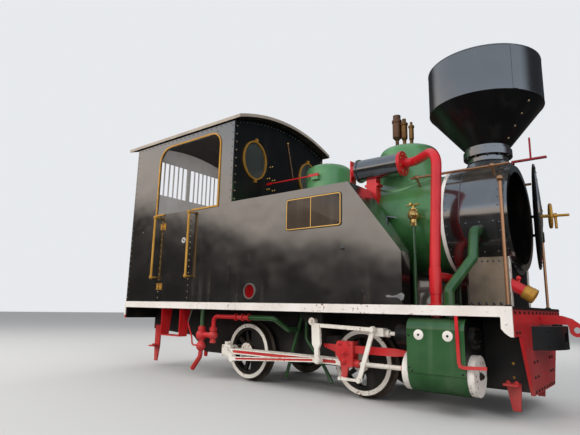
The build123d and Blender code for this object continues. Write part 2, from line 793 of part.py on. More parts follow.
def steam_pipes():
    """The regulator's end flanges and foot, the live steam pipe and its branch to the left chest."""
    flange = regulator_radius + 11
    rear = round_x((regulator_x[0] - 64, regulator_x[0]), regulator_y, regulator_z, flange - 50)
    rear += block((regulator_x[0] - 78, regulator_x[0] - 64), (regulator_y - 48, regulator_y + 48),
                  (regulator_z - flange + 6, regulator_z + flange - 6))
    main = round_x((regulator_x[1], regulator_x[1] + 30), regulator_y, regulator_z, flange)
    main += pipe([
        (regulator_x[1] + 20, regulator_y, regulator_z), (regulator_x[1] + 138, regulator_y, regulator_z),
        (steam_pipe_x + 45, -chest_pipe_y + 20, regulator_z - 8),
        (steam_pipe_x, -chest_pipe_y, branch_z + 60), (steam_pipe_x, -chest_pipe_y, cylinder_top),
    ], 150, pipe_radius)
    main += pipe([(steam_pipe_x, -chest_pipe_y, branch_z), (steam_pipe_x, chest_pipe_y, branch_z),
                  (steam_pipe_x, chest_pipe_y, cylinder_top)], 100, pipe_radius - 4)
    x = (steam_dome[0] - 240, steam_dome[0] - 135)
    foot = block(x, (-tank_inner_y + 8, -380), (boiler_z + 20, regulator_z))
    foot += block((x[0] - 20, x[1] + 20), (-tank_inner_y + 8, -370), (tank_top + 40, tank_top + 62))
    foot -= round_x(x, 0, boiler_z, barrel_radius + seat)
    foot -= round_x(regulator_x, regulator_y, regulator_z, regulator_radius + seat)
    foot -= round_z(steam_dome[0], 0, (boiler_z, regulator_z), steam_dome[1] + dome_flare + seat)
    return together(rear, main, foot)


def exhaust_pipes():
    """The green exhaust pipes from the chests to the smokebox."""
    x, z = exhaust_mouth
    out = sqrt((smokebox_radius + seat) ** 2 - (boiler_z - z) ** 2)
    shape = pipe([
        (x, out - 60, z), (x, out + 100, z), (x - 10, out + 130, z - 230),
        (exhaust_pipe_x, chest_pipe_y, 940), (exhaust_pipe_x, chest_pipe_y, cylinder_top),
    ], 60, pipe_radius - 2)
    return both(shape - round_x((x - 100, x + 100), 0, boiler_z, smokebox_radius + seat))


def boiler_valves():
    """Safety valves, whistle and the feed check valves."""
    return together(safety_valves(), both(clack_valve()))


def clack_valve():
    """A feed check valve on the barrel, with its cross handle."""
    x, y, z = clack
    body = round_y(x, (-y, -440), z, 36) + Pos(x, -y, z) * Sphere(50)
    body += round_z(x, -y, (z - 69, z + 60), 30) + round_z(x, -y, (z + 60, z + 96), 12)
    body += bar((x - 58, -y, z + 92), (x + 58, -y, z + 92), 9)
    body += bar((x, -y - 58, z + 92), (x, -y + 58, z + 92), 9)
    return right(body - round_x((x - 200, x + 200), 0, boiler_z, barrel_radius + seat))


def feed_pipes():
    """The green pipes: to the check valves, from the injectors and down to the rails for sand."""
    y = injector_y
    rear, front = injector_x
    x, valve_y, valve_z = clack
    end = front + steam_branch_length
    sand_x, sand_y = sand_dome[0], sand_pipe_y
    rear_foot, front_foot = sand_feet
    return both(
        bar((x, valve_y, deck_top), (x, valve_y, valve_z - 69), 18),
        round_z(rear, y, (560, deck_low), 24),
        pipe([(end + seat, y, branch_pipe_z), (end + 330, y, branch_pipe_z), (end + 390, 620, 560),
              (end + 390, frame_y[1] + seat, 560)], 50, 26),
        pipe([(sand_x, sand_y, deck_low), (sand_x, sand_y, 700), (rear_foot[0], sand_y, rear_foot[1])],
             60, sand_pipe_radius),
        pipe([(sand_x + 60, sand_y, deck_low), (sand_x + 60, sand_y, 480),
              (front_foot[0] - 80, sand_y, front_foot[1] + 128), (front_foot[0], sand_y, front_foot[1])],
             60, sand_pipe_radius),
    )


def copper_rails():
    """The rails along the upper boiler on ball stanchions, and the upright rods at the front corners."""
    y, z = rail_y, rail_z
    rail = bar((barrel_front_x - 320, y, z), (smokebox_front_x + 56, y, z), 12)
    for x in (barrel_front_x - 264, smokebox_front_x - 77):
        rail += Pos(x, y, z) * Rot(0, 90, 0) * Sphere(24)
        rail += bar((x, y * 0.8, boiler_z + 0.8 * (z - boiler_z)), (x, y, z), 11)
    rail -= round_x((1300, barrel_front_x - 32), 0, boiler_z, barrel_radius + seat)
    rail -= round_x((barrel_front_x - 32, smokebox_front_x + 10), 0, boiler_z, smokebox_radius + seat)
    x, y = beam_face_x - 64, corner_rod_y
    rod_shape = round_z(x, y, (deck_top, corner_rod_top), 13) + Pos(x, y, corner_rod_top + 12) * Sphere(26)
    return both(rail, rod_shape)


def side_tanks():
    """The water tanks, sloped at the front."""
    outline = [(cab_front_x, deck_top), (tank_slope_x[1], deck_top), (tank_slope_x[1], tank_slope_low),
               (tank_slope_x[0], tank_top), (cab_front_x, tank_top)]
    tank = plate_xz(outline, (tank_inner_y, side_y))
    corner, end = tank_inner_y - 10, tank_slope_x[1] + 10
    wedge = plate_xy([(tank_slope_x[0], corner), (end, corner), (end, tank_throat_y)], (deck_top, tank_top))
    return both(tank - wedge)


def roof_arc(y, lift=0):
    """The height of the roof's underside at a distance from the middle."""
    half = side_y + roof_overhang
    radius = (half ** 2 + roof_rise ** 2) / (2 * roof_rise)
    return eave_z + roof_rise - radius + sqrt(radius ** 2 - y ** 2) + lift


def cab_sides():
    """The side sheets with window and doorway cut."""
    y = (side_y - wall, side_y)
    sheet = block((cab_rear_x, cab_front_x), y, (deck_top, roof_arc(side_y)))
    doorway = block(door_x, y, (deck_top, window_z[0] + 1))
    return both(sheet - window_hole(0, y) - doorway)


def window_hole(grow, y):
    """The side window as a solid with round upper corners, grown all round."""
    x0, x1 = window_x[0] - grow, window_x[1] + grow
    z0, z1 = window_z[0] - grow, window_z[1] + grow
    outline = make_face(Polyline((x0, z0), (x1, z0), (x1, z1), (x0, z1), close=True))
    outline = fillet(outline.vertices().sort_by(lambda v: v.Y - v.X)[-1], window_corner[0] + grow)
    outline = fillet(outline.vertices().sort_by(lambda v: v.Y + v.X)[-1], window_corner[1] + grow)
    return extrude(Plane(origin=(0, y[1], 0), x_dir=(1, 0, 0), z_dir=(0, -1, 0)) * outline, y[1] - y[0])


def cab_brasswork():
    """Beads round the side windows, rims of the round windows and the fixed hinge leaves."""
    y = (side_y, side_y + 10)
    rim = window_hole(14, y) - window_hole(-4, y)
    rim -= block((door_x[0], door_x[1]), y, (window_z[0] - 40, window_z[0] + 40))
    spectacle_y, z = spectacle
    x = (cab_front_x, cab_front_x + 20)
    ring = oval_x(x, spectacle_y, z, 11) - oval_x(x, spectacle_y, z, -6)
    reach = spectacle_half[1]
    for low, high in ((z + reach, z + reach + 44), (z - reach - 44, z - reach)):
        ring += block((cab_front_x, cab_front_x + 26), (spectacle_y - 26, spectacle_y + 2), (low, high))
    end = door_x[0] - hinge_barrel - seat
    leaves = []
    for z in door_hinge_z:
        leaves.append(block((end - 40, end), (side_y, side_y + 6), (z - hinge_half, z + hinge_half)))
    return both(rim, ring, *leaves)


def cab_front():
    """The front wall with its round windows and the boiler's hole."""
    x = (cab_front_x - wall, cab_front_x)
    inner = side_y - wall
    face = Plane(origin=(x[0], 0, 0), x_dir=(0, 1, 0), z_dir=(1, 0, 0))
    wall_shape = extrude(face * arched(inner, deck_top), wall)
    wall_shape -= round_x(x, 0, boiler_z, barrel_radius + seat)
    for side in (-1, 1):
        wall_shape -= oval_x(x, side * spectacle[0], spectacle[1], 0)
    wall_shape -= block(x, (-firebox_half_y - 10, firebox_half_y + 10), (deck_top, boiler_z))
    return wall_shape


def arched(half, low):
    """A wall outline with the roof's curve along its top."""
    top = ThreePointArc((-half, roof_arc(half)), (0, roof_arc(0)), (half, roof_arc(half)))
    sides = Polyline((half, roof_arc(half)), (half, low), (-half, low), (-half, roof_arc(half)))
    return make_face([top, sides])


def cab_rear():
    """The rear wall with two openings, each closed by upright bars."""
    x = (cab_rear_x, cab_rear_x + wall)
    face = Plane(origin=(x[0], 0, 0), x_dir=(0, 1, 0), z_dir=(1, 0, 0))
    shape = extrude(face * arched(side_y - wall, deck_top), wall)
    low, high = rear_window_y
    for side in (-1, 1):
        y = sorted((side * low, side * high))
        shape -= block(x, y, rear_window_z)
    middle = (x[0] + x[1]) / 2
    for side in (-1, 1):
        for index in range(1, rear_bar_count + 1):
            y = side * (low + (high - low) * index / (rear_bar_count + 1))
            shape += block((middle - 6, middle + 6), (y - 9, y + 9), rear_window_z)
    return shape


def cab_roof():
    """The arched roof sheet."""
    half = side_y + roof_overhang
    outer = roof_line(half, roof_thickness)
    inner = roof_line(half, 0)
    sides = [Line(outer @ 0, inner @ 0), Line(outer @ 1, inner @ 1)]
    rear, front = cab_rear_x - roof_rear_overhang, cab_front_x + roof_front_overhang
    face = Plane(origin=(rear, 0, 0), x_dir=(0, 1, 0), z_dir=(1, 0, 0))
    return extrude(face * make_face([outer, inner, *sides]), front - rear)


def roof_line(half, lift):
    """The roof's curve across the cab, from right to left."""
    edge = roof_arc(half, lift)
    return ThreePointArc((-half, edge), (0, roof_arc(0, lift)), (half, edge))


def cab_door():
    """The half door in the left side sheet."""
    x = (door_x[0] + door_gap, door_x[1] - door_gap)
    return block(x, (side_y - wall, side_y), (deck_top + door_gap, window_z[0]))


def door_fittings():
    """Hinge leaves with their barrels, and the lock plate."""
    pieces = []
    for middle in door_hinge_z:
        z = (middle - hinge_half, middle + hinge_half)
        leaf = block((door_x[0] + door_gap, door_x[0] + 50), (side_y, side_y + 6), z)
        leaf += block((door_x[0], door_x[0] + 20), (side_y + 2, side_y + 10), z)
        pieces.append(leaf + round_z(door_x[0], side_y + hinge_barrel, z, hinge_barrel))
    x, z = door_lock
    pieces.append(round_y(x, (side_y, side_y + 10), z, door_lock_radius))
    return together(*pieces)


def spectacle_glass():
    """The oval panes."""
    x = (cab_front_x - 6, cab_front_x - seat)
    return together(*[oval_x(x, side * spectacle[0], spectacle[1], -seat) for side in (-1, 1)])


def cab_handrails():
    """The brass grab rails on standoffs beside the door."""
    rails = []
    for x in handrail_x:
        rail = round_z(x, handrail_y, handrail_z, 14)
        for z in handrail_z:
            rail += Pos(x, handrail_y, z) * Sphere(24)
            rail += round_y(x, (side_y, handrail_y), z, 10)
        rails.append(rail)
    return both(*rails)


def cab_steps():
    """Step plates and tread hung below the doorway."""
    low, high = step_tread_z
    outer, inner_top, inner_low = edge_y[0] - 5, 712, 756
    shape = block(step_x, (inner_low, outer), step_tread_z)
    outline = [(inner_top, deck_low), (outer, deck_low), (outer, low), (inner_low, low)]
    for x in step_x:
        shape += plate_yz(outline, (x - 5, x + 5))
    return both(shape)


def injectors():
    """The injector bodies below the cab, with the tail pipe, steam branch and handle rod."""
    y = injector_y
    rear, front = injector_x
    low, middle, top = injector_z
    collar = (top - 45, top - 15)
    shape = round_z(rear, y, (low, top), 30) + round_z(rear, y, collar, 42)
    shape += Pos(rear, y, middle - 6) * Sphere(64) + Pos(rear, y, low) * Sphere(54)
    shape += round_x((rear, front), y, middle, 30)
    shape += pipe([(rear, y, low), (rear - 5, y, low - 111), (rear - 125, y, 90)], 60, 25)
    shape += round_z(front, y, (low + 44, top), 28) + round_z(front, y, (low + 44, low + 69), 34)
    shape += round_z(front, y, collar, 42) + Pos(front, y, middle + 2) * Sphere(52)
    end = front + steam_branch_length
    shape += pipe([(front, y, top - 5), (front, y, branch_pipe_z), (end, y, branch_pipe_z)], 60, 24)
    for x in (end - 200, end - 105, end - 16):
        shape += round_x((x, x + 16), y, branch_pipe_z, 38)
    handle = [
        (rear - 185, y, deck_low), (rear - 185, y, 740), (rear - 245, y, 581), (rear - 167, y, 430),
        (rear - 151, y, low + 4), (rear - 30, y, low + 4),
    ]
    return both(shape + pipe(handle, 30, 9))


def cylinder():
    """One cylinder block and casing, bored for the piston rod."""
    outer = casing_outer_y
    body = block(cylinder_x, (frame_y[1], outer), (axle_z, cylinder_top))
    corner = body.edges().filter_by(Axis.X).sort_by(Axis.Z)[-2:].sort_by(Axis.Y)[-1]
    body = fillet(corner, casing_corner)
    body += round_x(cylinder_x, cylinder_y, axle_z, cylinder_radius - 6)
    body += block(cylinder_x, (frame_y[1], cylinder_y), (axle_z - 90, axle_z))
    return body - round_x((cylinder_x[0], bore_front_x), cylinder_y, axle_z, bore_radius)


def cylinder_covers():
    """The white end covers, with the piston rod's gland behind."""
    rear = round_x((rear_cover_x, cylinder_x[0]), cylinder_y, axle_z, cover_radius)
    tip = rear_cover_x - 60
    gland = [(tip, 0), (tip, 32), (tip + 16, 32), (tip + 24, 46), (rear_cover_x, 46), (rear_cover_x, 0)]
    rear += turned_x(gland, axle_z, cylinder_y)
    rear -= round_x((tip, cylinder_x[0]), cylinder_y, axle_z, piston_rod_radius + running_clearance)
    front = round_x((cylinder_x[1], front_cover_x), cylinder_y, axle_z, cover_radius)
    return both(rear, front)


def valve_chests():
    """The black ends of the valve chest and the spindle."""
    rear = round_x((chest_rear_x, cylinder_x[0]), cylinder_y, valve_z, valve_chest_radius)
    front = round_x((cylinder_x[1], cylinder_x[1] + 40), cylinder_y, valve_z, valve_chest_radius)
    return both(rear, front)


def slide_bars():
    """The slide bar from rear cover to motion bracket."""
    outline = [
        (bar_rear_x, bar_high - 26), (bar_rear_x + 120, bar_low), (rear_cover_x - 120, bar_low),
        (rear_cover_x, bar_low + 14), (rear_cover_x, bar_high - 14), (rear_cover_x - 120, bar_high),
        (bar_rear_x, bar_high),
    ]
    return both(plate_xz(outline, (rod_y[0] + 2, rod_y[1] - 2)))


def motion_brackets():
    """The brackets that carry slide bar, expansion link and weigh shaft."""
    low = bar_high - 26
    clear = axle_z + crank_throw + 56 + plane_gap
    inner, outer = frame_y[1], guide_outer_y[1]
    outline = [
        (inner, deck_low), (outer, deck_low), (outer, low), (rod_y[0] - 4, low), (rod_y[0] - 4, clear),
        (inner, clear),
    ]
    shape = plate_yz(outline, (bar_rear_x - 50, bar_rear_x))
    x, z = weigh_shaft
    cheek = [
        (x - 170, deck_low), (bar_rear_x, deck_low), (bar_rear_x, z - 60), (x - 16, z - 60),
        (x - 170, z + 30),
    ]
    shape += plate_xz(cheek, (outer - 14, outer))
    return both(shape - round_y(x, (inner, outer), z, weigh_shaft_radius + running_clearance))


def valve_gear(crank_angle):
    """Eccentric rod, expansion link, radius rod and valve spindle, set as the gear rests."""
    rod_plane = (guide_outer_y[1] + plane_gap, guide_outer_y[1] + 28)
    link_plane = (rod_plane[1] + 2, rod_plane[1] + 28)
    foot, top, pivot = foot_pin(crank_angle), top_pin(crank_angle), lever_pivot(crank_angle)
    shape = rod(return_pin(crank_angle), foot, rod_plane, (34, 34), 36, 9)
    shape += expansion_link(foot, link_plane)
    shape += link_bar(foot, trunnion, link_plane, (32, 20), 40)
    shape += round_y(foot[0], (rod_plane[0], link_plane[1] + 8), foot[1], 22)
    shape += round_y(trunnion[0], (guide_outer_y[1], link_plane[1]), trunnion[1], 26)
    shape += link_bar(top, pivot, (link_plane[0] + 2, link_plane[1] - 4), (18, 23), 33)
    shape += round_y(pivot[0], (guide_outer_y[1], link_plane[1] - 4), pivot[1], lever_pin_radius)
    guide = (cylinder_y - 24, guide_outer_y[1] + 4)
    shape += block((pivot[0] - 20, pivot[0] + 88), guide, (valve_z - 26, pivot[1] + 14))
    shape += round_x((pivot[0] + 88, pivot[0] + 122), cylinder_y, valve_z, 31)
    shape += round_x((pivot[0] + 122, chest_rear_x), cylinder_y, valve_z, 17)
    x, z = weigh_shaft
    shape += round_y(x, (frame_y[1], link_plane[1]), z, weigh_shaft_radius)
    return shape + link_bar(weigh_shaft, top, link_plane, (28, 20), 30)


def expansion_link(foot, y):
    """The slotted link as a straight-sided case that narrows to its foot."""
    run = Vector(foot[0] - trunnion[0], 0, foot[1] - trunnion[1])
    half = link_half_width
    outline = [
        (-link_head, -half), (link_head - 18, -half), (link_head + 22, -22), (link_foot, -22),
        (link_foot, 22), (link_head + 22, 22), (link_head - 18, half), (-link_head, half),
    ]
    face = Plane(origin=(trunnion[0], y[1], trunnion[1]), x_dir=run, z_dir=(0, -1, 0))
    return extrude(face * make_face(Polyline(*outline, close=True)), y[1] - y[0])


def domes():
    """Steam dome, and sand dome with the lug of its valve."""
    x, radius, edge_z = sand_dome
    y, z = sand_rod
    lug = block((x - 40, x + 50), (-y - 8, -radius + 30), (z - 48, z - 12))
    return together(dome(steam_dome), dome(sand_dome) + lug)


def control_rods():
    """The rod from the cab to the sand dome's valve, with a fork at each end."""
    y, z = sand_rod
    front = sand_dome[0] + 56
    shape = bar((cab_front_x + 60, -y, z), (front - 100, -y, z), 9)
    shape += block((cab_front_x + seat, cab_front_x + 70), (-y - 10, -y + 10), (z - 15, z + 15))
    return shape + block((front - 130, front), (-y - 10, -y + 10), (z - 12 + seat, z + 18))


def front_fittings():
    """The lamp iron on the smokebox and the capped cleaning pipe on the saddle."""
    back, bar_z = smokebox_front_x - 11, boiler_z + smokebox_radius + 14
    iron = block((back, beam_face_x + 147), (-16, 16), (bar_z, bar_z + 16))
    iron += block((back, smokebox_front_x + 6), (-30, 30), (boiler_z + smokebox_radius - 10, bar_z))
    iron -= round_x((back, smokebox_front_x + 6), 0, boiler_z, smokebox_radius + seat)
    iron += block((beam_face_x + 17, beam_face_x + 31), (-7, 7), (bar_z, bar_z + 206))
    x, y = saddle_x[1], cleaning_pipe_y
    shank, cap = cleaning_pipe_radius
    tube = bar((x - 40, y, 1022), (x + 160, y, 900), shank) + bar((x + 88, y, 944), (x + 160, y, 900), cap)
    tube += round_z(x + 51, y, (980, 1040), 10) + Pos(x + 51, y, 1048) * Sphere(20)
    return together(iron, tube - block((x - 200, x + seat), (y - 100, y + 100), (900, 1200)))


def cylinders():
    """Both cylinder blocks."""
    return both(cylinder())


def main():
    """Builds every node and writes its STEP file."""
    nodes = {}
    nodes["rear_wheels"], nodes["rear_tyres"] = wheelset(rear_axle_x, rod_y[0] - plane_gap)
    nodes["front_wheels"], nodes["front_tyres"] = wheelset(front_axle_x, pin_end_y)
    for name, crank_angle, place in (("left", 270, lambda shape: shape), ("right", 180, right)):
        nodes[f"coupling_rod_{name}"] = place(coupling_rod(crank_angle))
        nodes[f"connecting_rod_{name}"] = place(connecting_rod(crank_angle))
        nodes[f"crosshead_{name}"] = place(crosshead(crank_angle))
        nodes[f"combination_lever_{name}"] = place(combination_lever(crank_angle))
        nodes[f"cab_door_{name}"] = place(cab_door())
        nodes[f"door_fittings_{name}"] = place(door_fittings())
    nodes["valve_gear"] = together(valve_gear(270), right(valve_gear(180)))
    for build in (
        frame_plates, frame_stretchers, axle_boxes, buffer_beams, buffing_boxes, draw_hooks, guard_irons,
        running_board, board_edges, firebox, boiler_barrel, boiler_band, domes, boiler_valves, smokebox,
        smokebox_front, saddle, smokebox_door, door_wheel, chimney, front_fittings, control_rods,
        regulator_housing, steam_pipes, exhaust_pipes, feed_pipes, copper_rails, side_tanks, cab_sides,
        cab_front, cab_rear, cab_roof, cab_brasswork, spectacle_glass, cab_handrails, cab_steps, injectors,
        cylinders, cylinder_covers, valve_chests, slide_bars, motion_brackets,
    ):
        nodes[build.__name__] = build()
    os.makedirs("parts", exist_ok=True)
    for name, shape in nodes.items():
        export_step(shape, f"parts/{name}.step")


main()
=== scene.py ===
"""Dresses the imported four-wheeled side-tank steam locomotive.

Paint, brass, rivets, pipework and fittings are added round the fixed frame, with a pale floor, soft lamps
and the camera at the photograph's viewing angle. Lengths are in metres in the locomotive's own frame:
+X to the front, +Y to the left, +Z up, with the wheel flanges on z = 0.
"""

from __future__ import annotations

import json
import logging
import math
from dataclasses import dataclass
from enum import Enum
from typing import Callable, NamedTuple, Sequence

import bmesh
import bpy
from mathutils import Matrix, Vector

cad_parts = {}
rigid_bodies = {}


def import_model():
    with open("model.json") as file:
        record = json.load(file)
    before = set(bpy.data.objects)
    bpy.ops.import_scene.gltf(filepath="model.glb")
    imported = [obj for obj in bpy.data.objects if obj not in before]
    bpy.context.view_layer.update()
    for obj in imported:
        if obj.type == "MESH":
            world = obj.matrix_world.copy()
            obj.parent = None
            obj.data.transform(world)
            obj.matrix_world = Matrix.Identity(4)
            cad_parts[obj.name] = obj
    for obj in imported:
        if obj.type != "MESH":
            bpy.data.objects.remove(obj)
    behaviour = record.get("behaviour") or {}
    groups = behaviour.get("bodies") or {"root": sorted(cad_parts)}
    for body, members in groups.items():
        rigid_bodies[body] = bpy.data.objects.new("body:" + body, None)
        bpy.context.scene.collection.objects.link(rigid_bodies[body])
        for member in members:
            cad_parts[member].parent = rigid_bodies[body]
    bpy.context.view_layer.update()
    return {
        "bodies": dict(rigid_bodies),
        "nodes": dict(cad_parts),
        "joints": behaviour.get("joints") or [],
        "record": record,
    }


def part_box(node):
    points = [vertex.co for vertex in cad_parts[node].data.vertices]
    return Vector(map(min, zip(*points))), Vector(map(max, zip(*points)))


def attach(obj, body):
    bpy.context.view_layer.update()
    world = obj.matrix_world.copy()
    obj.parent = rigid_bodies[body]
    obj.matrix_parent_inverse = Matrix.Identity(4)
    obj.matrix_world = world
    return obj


log = logging.getLogger("locomotive")

# A Point has X, Y and Z, a Spot two measures such as X and Z, and a Span two values of the same one
Point = tuple[float, float, float]
Spot = tuple[float, float]
Span = tuple[float, float]
Colour = tuple[float, float, float]
Profile = Sequence[Spot]
REARWARD: Point = (-1.0, 0.0, 0.0)

# Where the brass cap of the smokebox's cleaning pipe starts, and the way it points
CAP_FOOT: Point = (2.282, -0.273, 0.944)
CAP_WAY: Point = (0.072, 0.0, -0.044)


class Side(Enum):
    """The side of the locomotive, as the sign of its Y."""

    LEFT = 1
    RIGHT = -1

    @property
    def word(self) -> str:
        """The side's word in the names of nodes and bodies."""
        return self.name.lower()

    @property
    def out(self) -> Point:
        """The direction out of this side."""
        return (0.0, float(self.value), 0.0)


class Axis(Enum):
    """The direction in which a round form or a rivet head points."""

    X = (1.0, 0.0, 0.0)
    Y = (0.0, 1.0, 0.0)
    Z = (0.0, 0.0, 1.0)


class Head(Enum):
    """The kind of fastener whose head shows."""

    RIVET = "rivet"
    NUT = "nut"


def rgb(red: float, green: float, blue: float) -> Colour:
    """Turns display values from 0 to 255 into a linear colour.

    Args:
        red: The red value.
        green: The green value.
        blue: The blue value.

    Returns:
        The linear colour.
    """

    def linear(value: float) -> float:
        """Undoes the display curve of one value."""
        share = value / 255
        return share / 12.92 if share <= 0.04045 else ((share + 0.055) / 1.055) ** 2.4

    return linear(red), linear(green), linear(blue)


class Wiring:
    """Adds nodes to one tree and links them."""

    def __init__(self, tree: bpy.types.NodeTree) -> None:
        """Keeps the tree that the nodes go into."""
        self.tree = tree

    def feed(self, target: bpy.types.NodeSocket, value: object) -> None:
        """Links a socket to an input, and makes any other value the input's default."""
        if isinstance(value, bpy.types.NodeSocket):
            self.tree.links.new(value, target)
        else:
            target.default_value = value

    def add(self, kind: str, settings: dict | None = None, **sockets: object) -> bpy.types.Node:
        """Adds one node.

        Args:
            kind: The node's type, without its ShaderNode prefix.
            settings: Properties of the node itself.
            **sockets: Input names with spaces as underscores, or i0, i1 and so on for a place in the list.
                A socket is linked, and any other value becomes the default.

        Returns:
            The new node.
        """
        node = self.tree.nodes.new("ShaderNode" + kind)
        for key, value in (settings or {}).items():
            setattr(node, key, value)
        for key, value in sockets.items():
            place = int(key[1:]) if key[0] == "i" and key[1:].isdigit() else key.replace("_", " ")
            self.feed(node.inputs[place], value)
        return node

    def math(self, operation: str, *values: object) -> bpy.types.NodeSocket:
        """Adds a Math node and returns its result."""
        node = self.add("Math", {"operation": operation})
        for place, value in enumerate(values):
            self.feed(node.inputs[place], value)
        return node.outputs[0]

    def noise(self, place: bpy.types.NodeSocket, scale: object, detail: float,
              **more: float) -> bpy.types.NodeSocket:
        """Adds a cloudy noise over a place and returns its value."""
        return self.add("TexNoise", Vector=place, Scale=scale, Detail=detail, **more).outputs[0]

    def place(self, kind: str = "Object") -> bpy.types.NodeSocket:
        """Adds the point that is shaded, in the coordinates of that kind."""
        return self.add("TexCoord").outputs[kind]

    def ramp(self, value: bpy.types.NodeSocket, low: object, high: object) -> bpy.types.NodeSocket:
        """Maps a value smoothly from low..high to 0..1.

        Args:
            value: The socket to map.
            low: The value that gives 0.
            high: The value that gives 1.

        Returns:
            The mapped socket.
        """
        settings = {"interpolation_type": "SMOOTHSTEP"}
        return self.add("MapRange", settings, Value=value, From_Min=low, From_Max=high).outputs[0]

    def mix(self, factor: bpy.types.NodeSocket, first: object, second: object) -> bpy.types.NodeSocket:
        """Mixes two colours by a factor and returns the colour."""
        node = self.add("Mix", {"data_type": "RGBA"}, i0=factor)
        for place, value in ((6, first), (7, second)):
            self.feed(node.inputs[place], value if isinstance(value, bpy.types.NodeSocket) else (*value, 1.0))
        return node.outputs[2]


class Effect(Wiring):
    """A shader node group that several finishes share, with the wiring of its own nodes."""

    def __init__(self, name: str, output: str, **inputs: float) -> None:
        """Makes an empty group with its sockets.

        Args:
            name: The group's name.
            output: The name of its output.
            **inputs: The default value of each input.
        """
        super().__init__(bpy.data.node_groups.new(name, "ShaderNodeTree"))
        for label, value in inputs.items():
            socket = self.tree.interface.new_socket(name=label, in_out="INPUT", socket_type="NodeSocketFloat")
            socket.default_value = value
        self.tree.interface.new_socket(name=output, in_out="OUTPUT", socket_type="NodeSocketFloat")
        self.start = self.tree.nodes.new("NodeGroupInput")
        self.end = self.tree.nodes.new("NodeGroupOutput")

    def given(self, label: str) -> bpy.types.NodeSocket:
        """The value that a finish gives to one input."""
        return self.start.outputs[label]

    def ended(self, socket: bpy.types.NodeSocket) -> bpy.types.NodeTree:
        """Links a socket to the group's output and returns the group."""
        self.tree.links.new(socket, self.end.inputs[0])
        return self.tree


class Effects:
    """The shared effects, each built once."""

    def __init__(self) -> None:
        """Builds every group."""
        self.streaks = self._streaks()
        self.spots = self._spots()
        self.dust = self._dust()
        self.wear = self._wear()
        self.sheet = self._sheet()

    @staticmethod
    def _streaks() -> bpy.types.NodeTree:
        """Rain runs: long soft vertical marks."""
        w = Effect("rain_streaks", "Mask", Scale=9.0, Amount=0.5)
        place = w.place()
        flat = w.add("Mapping", Vector=place, Scale=(1.0, 1.0, 0.07)).outputs[0]
        runs = w.ramp(w.noise(flat, w.given("Scale"), 5.0), 0.5, 0.75)
        shown = w.math("MULTIPLY", runs, w.ramp(w.noise(place, 1.7, 3.0), 0.38, 0.62))
        return w.ended(w.math("MULTIPLY", shown, w.given("Amount")))

    @staticmethod
    def _spots() -> bpy.types.NodeTree:
        """Small chips and rust spots in loose groups."""
        w = Effect("chips_and_spots", "Mask", Scale=30.0, Amount=0.5)
        place = w.place()
        chips = w.noise(place, w.given("Scale"), 6.0, Roughness=0.7)
        both = w.math("MULTIPLY_ADD", w.noise(place, 3.1, 4.0), 0.42, chips)
        edge = w.math("MULTIPLY_ADD", w.given("Amount"), -0.26, 0.96)
        return w.ended(w.ramp(both, edge, w.math("ADD", edge, 0.05)))

    @staticmethod
    def _dust() -> bpy.types.NodeTree:
        """Dust on level tops and on everything near the track; on the green finishes the paler colour on
        level tops also stands for a painted highlight of the sky.
        """
        w = Effect("dust", "Mask", Tops=0.5, Low=0.5)
        place = w.place()
        height = w.add("SeparateXYZ", Vector=place).outputs["Z"]
        facing = w.add("SeparateXYZ", Vector=w.add("NewGeometry").outputs["Normal"]).outputs["Z"]
        cloud = w.ramp(w.noise(place, 4.3, 7.0), 0.3, 0.72)
        tops = w.math("MULTIPLY", w.ramp(facing, 0.35, 0.95), w.given("Tops"))
        low = w.math("MULTIPLY", w.ramp(height, 0.85, 0.05), w.given("Low"))
        return w.ended(w.math("MULTIPLY", w.math("MAXIMUM", tops, low), w.math("ADD", cloud, 0.2)))

    @staticmethod
    def _wear() -> bpy.types.NodeTree:
        """Paint worn off along the edges."""
        w = Effect("edge_wear", "Mask", Width=0.004, Amount=0.5)
        rounded = w.add("Bevel", {"samples": 4}, Radius=w.given("Width")).outputs[0]
        plain = w.add("NewGeometry").outputs["Normal"]
        dot = w.add("VectorMath", {"operation": "DOT_PRODUCT"}, i0=rounded, i1=plain).outputs["Value"]
        broken = w.ramp(w.noise(w.place(), 21.0, 5.0), 0.4, 0.62)
        shown = w.math("MULTIPLY", w.ramp(dot, 0.995, 0.93), broken)
        return w.ended(w.math("MULTIPLY", shown, w.given("Amount")))

    @staticmethod
    def _sheet() -> bpy.types.NodeTree:
        """The height of brushed paint over beaten sheet metal."""
        w = Effect("sheet_relief", "Height", Wave=1.0, Peel=0.1)
        place = w.place()
        high = w.math("MULTIPLY", w.noise(place, 2.3, 2.0), w.given("Wave"))
        return w.ended(w.math("MULTIPLY_ADD", w.noise(place, 160.0, 3.0), w.given("Peel"), high))


@dataclass(frozen=True)
class Surface:
    """What a node or a piece looks like."""

    name: str

    def material(self, effects: Effects) -> bpy.types.Material:
        """Finds the surface's material, or makes it.

        Args:
            effects: The shared node groups.

        Returns:
            The material.
        """
        made = bpy.data.materials.get(self.name)
        if not made:
            made = bpy.data.materials.new(self.name)
            made.use_nodes = True
            self.wire(made.node_tree, effects)
        return made

    def wire(self, tree: bpy.types.NodeTree, effects: Effects) -> None:
        """Adds the nodes of the surface's material."""
        raise NotImplementedError


